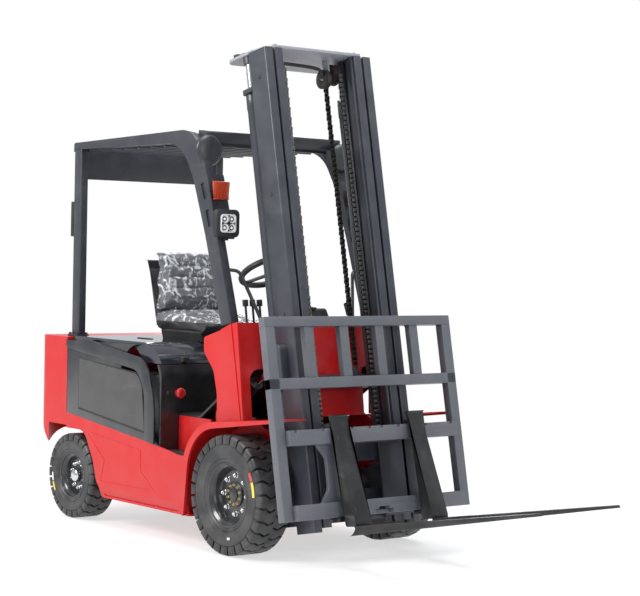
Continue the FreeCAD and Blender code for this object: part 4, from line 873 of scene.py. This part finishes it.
def notchedBar(name, low, high, notches, upward):
    half = carriage["half"]
    outline = [(-half, low), (half, low), (half, high), (-half, high)]
    piece = plate(name, "mastFront", outline, *carriage["bars"][0], bevel=0)
    cutters = []
    for y, wide, depth in notches:
        span = (high - depth, high + 3) if upward else (low - 3, low + depth)
        cutters.append(bar("notch", "mastPlan", (490, 536), (y - wide, y + wide), span, 0))
    carve(piece, cutters)
    softenEdges(piece, 2.5, 2)
    return piece


def addCarriage(spec):
    upper = notchedBar("upperForkBar", *spec["bars"][1], [(y, 9, 12) for y in spec["notches"]], True)
    lower = notchedBar("lowerForkBar", *spec["bars"][2], [(0, 60, 22), (0, 34, 34)], False)
    ties = [bar("tie", "mastPlan", (434, 495), (-215, 215), span, 2) for span in spec["ties"]]
    side = [plate("endPlate", "mastFront", spec["endPlate"], 472, 495, bevel=2, steps=14),
            plate("rollerPlate", "mastSide", spec["rollerPlate"], -207, -223, bevel=2),
            bar("chainLug", "mastPlan", (344.6, 436), (-215, -173), (236, 306), 3)]
    group("carriageSides", side, "carriage", "frameGrey", "mast_grey", mirrored=True)
    group("carriageBars", [upper, lower] + ties, "carriage", "frameGrey", "mast_grey", ["carriage"])
    rollers = [addRoller("roller", -223, -248, s) for s in spec["rollers"]]
    group("carriageRollers", rollers, "carriage", "chainSteel", "chain_steel", mirrored=True)


addCarriage(carriage)

backrest = {
    "bars": [((454, 500), (-600, 600), (812, 860)), ((454, 500), (-600, 600), (510, 562)),
             ((454, 500), (-600, -542), (-118, 812)), ((454, 500), (542, 600), (-118, 812))],
    "slats": (-331, -109, 121, 349), "slatHalf": 27, "slatDepth": (460, 496), "slatSpan": (562, 812)}


def addBackrest(spec):
    frameBars = [bar("backrestBar", "mastPlan", *spans, 2.5, 3) for spans in spec["bars"]]
    beads, half, (low, high) = [], spec["slatHalf"], spec["slatSpan"]
    for y in spec["slats"]:
        near, far = y - half, y + half
        frameBars.append(bar("slat", "mastPlan", spec["slatDepth"], (near, far), (low, high), 2.5, 3))
        for s in (low + 1, high - 1):
            beads.append(weld("bead", onMast(461, near, s), onMast(461, far, s)))
    group("loadBackrest", frameBars, "carriage", "frameGrey", "mast_grey", ["load_backrest"])
    group("backrestWelds", beads, "carriage", "frameGrey", "mast_grey")


addBackrest(backrest)

forkShape = {
    "profile": [(534, 371), (579, 371, 12), (579, -167, 15), (1793, -196, 3), (1801, -212, 2),
                (534, -212, 60)],
    "y": (-194, -298), "tips": ((-194, -214, 1), (-298, -278, -1)), "taper": (1631, 1660, 1801, 1815),
    "hooks": ((310.3, 334), (-142, -118.3))}


def addForks(spec):
    blade = plate("forks", "mastSide", spec["profile"], *spec["y"], bevel=0, steps=10)
    start, bend, end, past = spec["taper"]
    for edge, tip, sign in spec["tips"]:  # the blade narrows on both sides toward its tip
        clear = edge + 30 * sign
        outline = [(start, edge), (bend, edge - sign), (end, tip), (past, tip), (past, clear),
                   (start, clear)]
        carve(blade, [plate("tipCut", "mastPlan", outline, -230, 400, bevel=0)])
    softenEdges(blade, 4, 3, 25)
    hooks = [bar("forkHook", "mastPlan", (478, 536), (-291, -231), span, 3) for span in spec["hooks"]]
    group("forks", [blade] + hooks, "carriage", "forkGrey", "fork_grey", ["forks"], mirrored=True)
    pin = [rodBetween("pin", onMast(513, -246, 334.3), onMast(513, -246, 368), 11, 24),
           rodBetween("pinBar", onMast(513, -268, 362), onMast(513, -224, 362), 6, 16)]
    group("forkPins", pin, "carriage", "forkGrey", "fork_grey", ["fork_pins"], mirrored=True)


addForks(forkShape)
print("carriage made")

# overhead guard: bent side frames, headers, roof bars and rear posts

guard = {
    "side": [(-91, 1142), (-341, 1925, 260), (-452, 2121, 170), (-1614, 2086, 12), (-1614, 2024, 12),
             (-560, 2055, 220), (-445, 1869, 300), (-329, 1578), (-176, 1126)],
    "sideSpan": (-441, -489),
    "slots": [[(-384, 1852, 6), (-350, 1846, 6), (-312, 1755, 6), (-345, 1758, 6)],
              [(-336, 1715, 6), (-302, 1710, 6), (-270, 1614, 6), (-302, 1618, 6)]],
    "post": ((-1608, -1535), (-489, -441), (1015, 2050)),
    "base": ((-1628, -1537), (-501, -419), (1003.3, 1016)),
    "rear": [(-442, 1885, 30), (442, 1885, 30), (442, 2082), (-442, 2082)],
    "front": [(-470, 2058), (-392, 2046, 8), (-400, 2112, 14), (-470, 2118)],
    "inside": 442, "bars": (-1538, -530, 9), "barHalf": 11, "barSpan": (2040, 2068),
    "boltsAt": ((-1618, -430), (-1618, -491), (-1548, -430), (-1548, -491))}


def addGuard(spec):
    frameSide = plate("guardSide", "side", spec["side"], *spec["sideSpan"], bevel=0, steps=16)
    carve(frameSide, [plate("slot", "side", outline, -480, -493, bevel=0) for outline in spec["slots"]])
    softenEdges(frameSide, 5, 3, 40)
    # black plates at the bottom of the slots: painted shade in the recesses
    slotShades = [plate("slotShadeFloor", "side", outline, -470, -479, bevel=0) for outline in spec["slots"]]
    side = [frameSide, bar("rearPost", "plan", *spec["post"], 7, 3),
            bar("postBase", "plan", *spec["base"], 2)]
    for x, y in spec["boltsAt"]:
        side.append(rodBetween("postBolt", vehicle(x, y, 1016), vehicle(x, y, 1025), 8, 6))
    group("guardSides", side, "chassis", "guardGrey", "guard_grey", ["overhead_guard"], mirrored=True)
    group("guardSlotShade", slotShades, "chassis", "blackPlastic", "guard_grey", mirrored=True)
    inside, half = spec["inside"], spec["barHalf"]
    across = [plate("rearHeader", "front", spec["rear"], -1608, -1600, bevel=1.5),
              plate("frontHeader", "side", spec["front"], -inside, inside, bevel=3)]
    first, last, count = spec["bars"]
    for index in range(count):
        x = first + (last - first) * index / (count - 1)
        across.append(bar("roofBar", "plan", (x - half, x + half), (-inside, inside), spec["barSpan"], 3))
    group("guardBars", across, "chassis", "guardGrey", "guard_grey")


addGuard(guard)

# work lamps, signals and mirrors

workLamp = {
    "housing": [(-520, 1568, 26), (-376, 1568, 26), (-376, 1708, 26), (-520, 1708, 26)],
    "frame": [(-495, 1592, 16), (-401, 1592, 16), (-401, 1684, 16), (-495, 1684, 16)],
    "face": [(-490, 1597, 12), (-406, 1597, 12), (-406, 1679, 12), (-490, 1679, 12)],
    "bowl": [(0, -6), (7, -5), (13, -2), (18, 3), (20, 6), (21, 6), (21, 4)],
    "chip": [(0, 2), (5, 1.5), (7, -1), (7, -6)], "centre": (-188.5, -448, 1638), "step": 22,
    "fins": (-505, 19, 7)}


def addWorkLamps(spec):
    body = [plate("lampHousing", "front", spec["housing"], -226, -190, bevel=3)]
    first, pitch, count = spec["fins"]
    for index in range(count):
        y = first + index * pitch
        body.append(bar("lampFin", "plan", (-243, -224), (y - 2, y + 2), (1590, 1686), 0.8))
    body.append(bar("lampYoke", "plan", (-236, -204), (-462, -434), (1552, 1570), 2))
    ring = plate("lampFrame", "front", spec["frame"], -194, -184, bevel=1.5)
    carve(ring, [plate("lampOpening", "front", spec["face"], -190.5, -180, bevel=0)])
    bowls, glass = [], []
    x, y, z = spec["centre"]
    step = spec["step"]
    for centre in (vehicle(x, y + across, z + up) for across in (-step, step) for up in (-step, step)):
        bowls.append(lathe("lampBowl", spec["bowl"], centre, axisX, 32))
        glass.append(lathe("lampChip", spec["chip"], centre, axisX, 16))
    group("lampHousings", body, "chassis", "blackPlastic", "lamp_glass", ["work_lamps"], mirrored=True)
    group("lampFrames", [ring], "chassis", "lampWhite", "lamp_glass", mirrored=True)
    group("lampBowls", bowls, "chassis", "lampLens", "lamp_glass", mirrored=True)
    group("lampChips", glass, "chassis", "lampChip", "lamp_glass", mirrored=True)


addWorkLamps(workLamp)

signalLamp = {
    "lens": [(-262, 1757, 6), (-234, 1762, 14), (-260, 1850, 14), (-288, 1853, 6)],
    "span": (-489, -393), "ribs": (4, 19.2, 1),
    "rib": [(-259, 1760), (-233.5, 1764, 12), (-259.5, 1848, 12), (-284, 1850)],
    "rear": ((-1642, -1612), (-487, -443), (1562, 1758))}


def addSignals(spec):
    lens = plate("signalLens", "side", spec["lens"], *spec["span"], bevel=5, segments=3)
    ribs = []
    count, pitch, half = spec["ribs"]
    for index in range(1, count + 1):
        y = spec["span"][0] + index * pitch
        ribs.append(plate("lensRib", "side", spec["rib"], y - half, y + half, bevel=0))
    rear = bar("rearLens", "plan", *spec["rear"], 5, 3)
    group("rearLenses", [rear], "chassis", "blackPlastic", "signal_orange", mirrored=True)
    group("signalLamps", [lens] + ribs, "chassis", "orangeLens", "signal_orange", ["signal_lamps"],
          mirrored=True)


addSignals(signalLamp)

mirror = {
    "shell": [(0, -4), (40, -2), (66, 6), (76, 14), (80, 22), (80, 29), (78, 31.5), (75, 31), (74, 28),
              (0, 28)],
    "centre": (-384, -440, 2010), "forward": 29,
    "arm": ((-386, -440, 2012), (-410, -440, 2030), (-438, -440, 2056)), "armRadius": 8}


def addMirrors(spec):
    centre = vehicle(*spec["centre"])
    shell = lathe("mirrors", spec["shell"], centre, axisX, 56)
    shell.data.transform(turnAbout(centre, (0, 0, 1), math.pi))
    shell.data.transform(Matrix.Translation((spec["forward"] / 1000, 0, 0)))
    arm = tubeAlong("mirrorArm", [vehicle(*point) for point in spec["arm"]], spec["armRadius"])
    group("mirrors", [shell, arm], "chassis", "mirrorBack", "mirror_glass", ["mirrors"], mirrored=True)


addMirrors(mirror)
print("guard and lamps made")

# body: hood hinges and handle, covers, bands, latch, button and the tread on the steps

hood = {
    "knuckle": ((-1521.5, 997.5), 262, 398, 7.5),
    "handle": [(-1190, -330, 14), (-1060, -330, 14), (-1060, -296, 14), (-1190, -296, 14)],
    "handleSpan": (1010, 1014)}


def addHoodFittings(spec):
    (x, z), near, far, radius = spec["knuckle"]
    hinges = []
    for start, end in ((near, far), (-far, -near)):
        hinges.append(rodBetween("hoodHinge", vehicle(x, start, z), vehicle(x, end, z), radius))
    group("hoodHinges", hinges, "hood", "hoodBlack", "hood_black")
    handle = plate("hoodHandle", "plan", spec["handle"], *spec["handleSpan"], bevel=1.6)
    group("hoodHandle", [handle], "hood", "blackPlastic", "hood_black")


addHoodFittings(hood)

cover = {
    "skin": [(-1527, 583), (-1527, 1000, 10), (-618, 1000, 184), (-618, 480), (-700, 492)],
    "panel": [(-1398, 622), (-1398, 908, 8), (-780, 836, 90), (-742, 548)],
    "groove": [(-1405, 612), (-1405, 917, 12), (-776, 844, 94), (-734, 534)],
    "band": [(-1527, 998, 8), (-1290, 998, 60), (-720, 924, 150), (-646, 700, 400), (-646, 490), (-728, 501),
             (-742, 760, 200), (-800, 862, 110), (-1420, 932, 20), (-1527, 948, 8)]}


def addCovers(spec):
    skin = plate("sideCovers", "side", spec["skin"], -548, -560, bevel=2.5, segments=3, steps=16)
    panel = plate("coverPanel", "side", spec["panel"], -560, -563, bevel=1.4, segments=3, steps=12)
    # the groove round the panel is a thin black strip: painted shade where the cover has a recess
    groove = plate("coverGrooveShade", "side", spec["groove"], -559.6, -560.5, bevel=0, steps=12)
    band = plate("coverBands", "side", spec["band"], -560.3, -569, bevel=4, segments=5, steps=20)
    group("sideCovers", [skin], "chassis", "bandBlack", "cover_grey", ["side_covers"], mirrored=True)
    group("coverPanels", [panel], "chassis", "coverGrey", "cover_grey", mirrored=True)
    group("coverGrooveShade", [groove], "chassis", "blackPlastic", "cover_grey", mirrored=True)
    group("coverBands", [band], "chassis", "bandBlack", "band_black", ["cover_bands"], mirrored=True)


addCovers(cover)

skirtLine = {
    "points": [(-1318, 496), (-1129, 356), (-1165, 240), (-640, 244), (-775, 335), (-779, 445),
               (-1276, 494)],
    "y": -560.2, "radius": 1.6}
stepMat = {"span": (-634, -384), "across": (-556, -424), "top": 455, "ribs": 11, "thick": 3, "share": 0.28}


def addSkirtLines(spec):
    points = [vehicle(x, spec["y"], z) for x, z in spec["points"]]
    line = tubeAlong("skirtLines", points, spec["radius"], False, 3)
    group("skirtLines", [line], "chassis", "redPaint", "red_paint", mirrored=True)


def addSteps(spec):
    (low, high), (near, far) = spec["span"], spec["across"]
    face = spec["top"] + spec["thick"]
    mat = [bar("stepMats", "plan", (low, high), (near, far), (spec["top"], face), 1)]
    pitch = (far - near) / spec["ribs"]
    half = pitch * spec["share"]
    for index in range(spec["ribs"]):
        y = near + (index + 0.5) * pitch
        mat.append(bar("rib", "plan", (low + 4, high - 4), (y - half, y + half),
                       (face, face + spec["thick"]), 1))
    group("stepMats", mat, "chassis", "blackPaint", "frame_black", mirrored=True)


addSkirtLines(skirtLine)
addSteps(stepMat)

frontFace = -612  # the hood's front wall carries the button and the key switch
button = {
    "axis": (-436, 754),
    "profile": [(0, 30), (14, 29.5), (23, 27), (27, 23), (28, 18), (27, 14), (15, 12), (14, 2), (22, 1.5),
                (24, 0)]}
keySwitch = {"axis": (-502, 755), "profile": [(0, 7), (9, 7), (12, 5), (13, 0)]}
latch = {"outline": [(-412, 913, 4), (-372, 913, 4), (-372, 939, 4), (-412, 939, 4)], "span": (-646, -614)}


def addButtonAndLatch():
    stop = lathe("stopButton", button["profile"], vehicle(frontFace, *button["axis"]), axisX, 40)
    group("stopButton", [stop], "chassis", "stopRed", "stop_red", ["stop_button"])
    switch = lathe("keySwitch", keySwitch["profile"], vehicle(frontFace, *keySwitch["axis"]), axisX, 32)
    group("keySwitch", [switch], "chassis", "blackPlastic", "band_black")
    catch = plate("hoodLatch", "front", latch["outline"], *latch["span"], bevel=3)
    group("hoodLatch", [catch], "hood", "blackPlastic", "band_black", ["hood_latch"])


addButtonAndLatch()
print("body panels made")

# driver's place: dash display, seat shell, cushions and their clear film

display = {"outline": [(-168, -55, 8), (-88, -55, 8), (-88, 55, 8), (-168, 55, 8)], "span": (1207, 1219),
           "glass": [(-158, -45, 4), (-98, -45, 4), (-98, 45, 4), (-158, 45, 4)], "glassSpan": (1219, 1220)}


def addDisplay(spec):
    bezel = plate("dashDisplay", "plan", spec["outline"], *spec["span"], bevel=3)
    glass = plate("displayGlass", "plan", spec["glass"], *spec["glassSpan"], bevel=0.4)
    group("dashDisplay", [bezel], "chassis", "blackPlastic", "black_plastic")
    group("displayGlass", [glass], "chassis", "hoodBlack", "black_plastic")


addDisplay(display)

seat = {
    "cushion": {"outline": [(-1146, 1069, 20), (-669, 1069, 40), (-664, 1179, 48), (-1146, 1151, 30)],
                "half": 231, "node": "seat_cushion", "pleats": (-1050, -960, -870, -780), "faceUp": True},
    "back": {"outline": [(-1148, 1099, 16), (-1066, 1192, 24), (-1153, 1496, 45), (-1251, 1486, 45)],
             "half": 228, "node": "seat_back", "pleats": (1230, 1290, 1350, 1410), "faceUp": False},
    "shell": [(-1160, 1080), (-1090, 1080, 20), (-1168, 1200, 40), (-1262, 1440, 20), (-1276, 1440, 10),
              (-1190, 1190, 40)], "shellHalf": 215}
seatSim = {"voxel": 0.006, "quickVoxel": 0.012, "frames": 20, "pressure": 4.0, "stiffness": 40, "cap": 0.022}
pleat = {"reach": 16, "depth": 0.009, "share": 0.8}


def swell(cushion):  # the filling pushes the cover outward
    onlySelect(cushion)
    cloth = cushion.modifiers.new("cloth", "CLOTH")
    cloth.settings.use_pressure = True
    cloth.settings.uniform_pressure_force = seatSim["pressure"]
    cloth.settings.tension_stiffness = seatSim["stiffness"]
    cloth.settings.compression_stiffness = seatSim["stiffness"]
    cloth.settings.effector_weights.gravity = 0
    cloth.point_cache.frame_start = 1
    cloth.point_cache.frame_end = seatSim["frames"]
    for step in range(1, seatSim["frames"] + 1):
        bpy.context.scene.frame_set(step)
    bpy.ops.object.modifier_apply(modifier="cloth")
    bpy.context.scene.frame_set(1)


def addCushion(name, spec):
    half = spec["half"]
    cushion = plate(name, "side", spec["outline"], -half, half, bevel=22, segments=4, steps=8)
    addModifier(cushion, "REMESH", mode="VOXEL", voxel_size=seatSim["voxel"])
    rest = [vertex.co.copy() for vertex in cushion.data.vertices]
    swell(cushion)
    for vertex, start in zip(cushion.data.vertices, rest):
        move = vertex.co - start
        if move.length > seatSim["cap"]:
            vertex.co = start + move.normalized() * seatSim["cap"]
    normals = [vertex.normal.copy() for vertex in cushion.data.vertices]
    for vertex, normal in zip(cushion.data.vertices, normals):  # stitched channels across the seat's face
        along = (vertex.co.x - originShift if spec["faceUp"] else vertex.co.z) * 1000
        near = min(abs(along - line) for line in spec["pleats"])
        inside = abs(vertex.co.y) < half / 1000 * pleat["share"]
        faces = normal.z > 0.6 if spec["faceUp"] else normal.x > 0.5
        if inside and faces and near < pleat["reach"]:
            vertex.co -= normal * (pleat["depth"] * (1 - near / pleat["reach"]) ** 2)
    addModifier(cushion, "SUBSURF", levels=1, render_levels=1)
    finishPiece(cushion, "hood", "seatCloth", "seat_cloth", [spec["node"]], 60)
    return cushion


seatCushion = addCushion("seatCushion", seat["cushion"])
seatBack = addCushion("seatBack", seat["back"])
shell = plate("seatShell", "side", seat["shell"], -seat["shellHalf"], seat["shellHalf"], bevel=5, segments=3)
group("seatShell", [shell], "hood", "blackPlastic", "seat_cloth")
films = {
    "backFilm": {"under": seatBack, "low": 1.175, "flat": (0.62, 0.74)},
    "cushionFilm": {"under": seatCushion, "low": 1.11, "flat": (0.54, 0.50)}}
# folds and creases: frequency, shift and height in metres
creaseShape = {"gap": 0.002, "folds": ((9, (3, 1, 7), 0.008), (20, (0, 0, 0), 0.004))}


def addFilm(name, spec):  # a loose clear cover that lies on a cushion in creases
    under = spec["under"]
    sheet = copyPiece(under, Matrix.Identity(4))
    sheet.name = name
    normals = [vertex.normal.copy() for vertex in sheet.data.vertices]
    for vertex, normal in zip(sheet.data.vertices, normals):
        place = vertex.co.copy()
        rise = creaseShape["gap"]
        for pitch, shift, height in creaseShape["folds"]:
            rise += height * (1 - abs(noise.noise(place * pitch + Vector(shift)))) ** 4
        vertex.co = place + normal * rise
    editPiece(sheet)
    bpy.ops.mesh.bisect(plane_co=(0, 0, spec["low"]), plane_no=(0, 0, 1), clear_inner=True)
    leaveEdit()
    finishPiece(sheet, "hood", "clearFilm", "seat_cloth", (), 60)


for filmName, filmSpec in films.items():
    addFilm(filmName, filmSpec)
print("seat made")

# tyre patches: plain coloured strips on the right-hand side walls

patches = [
    # name, tyre, radii, angles above straight ahead, look
    ("yellowPatch", frontTyre, (225, 243), (4, 22), "patchYellow"),
    ("redPatch", frontTyre, (225, 243), (23, 34), "patchRed"),
    ("whitePatch", frontTyre, (206, 218), (-83, -77), "patchWhite"),
    ("rearYellowPatch", rearTyre, (178, 191), (196, 212), "patchYellow"),
    ("rearWhitePatch", rearTyre, (178, 191), (180, 194), "patchWhite"),
]


def addPatch(name, tyre, radii, angles, look):
    x, y, z = tyre["centre"]
    outline = []
    for radius, order in ((radii[0], range(9)), (radii[1], reversed(range(9)))):
        for index in order:
            turn = math.radians(angles[0] + (angles[1] - angles[0]) * index / 8)
            outline.append((x + radius * math.cos(turn), z + radius * math.sin(turn)))
    face = y - tyre["half"]
    patch = plate(name, "side", outline, face + 0.6, face - 0.1, bevel=0)
    finishPiece(patch, tyre["body"] + "_right", look, "tyre_black")


for patchSpec in patches:
    addPatch(*patchSpec)
print("patches made")
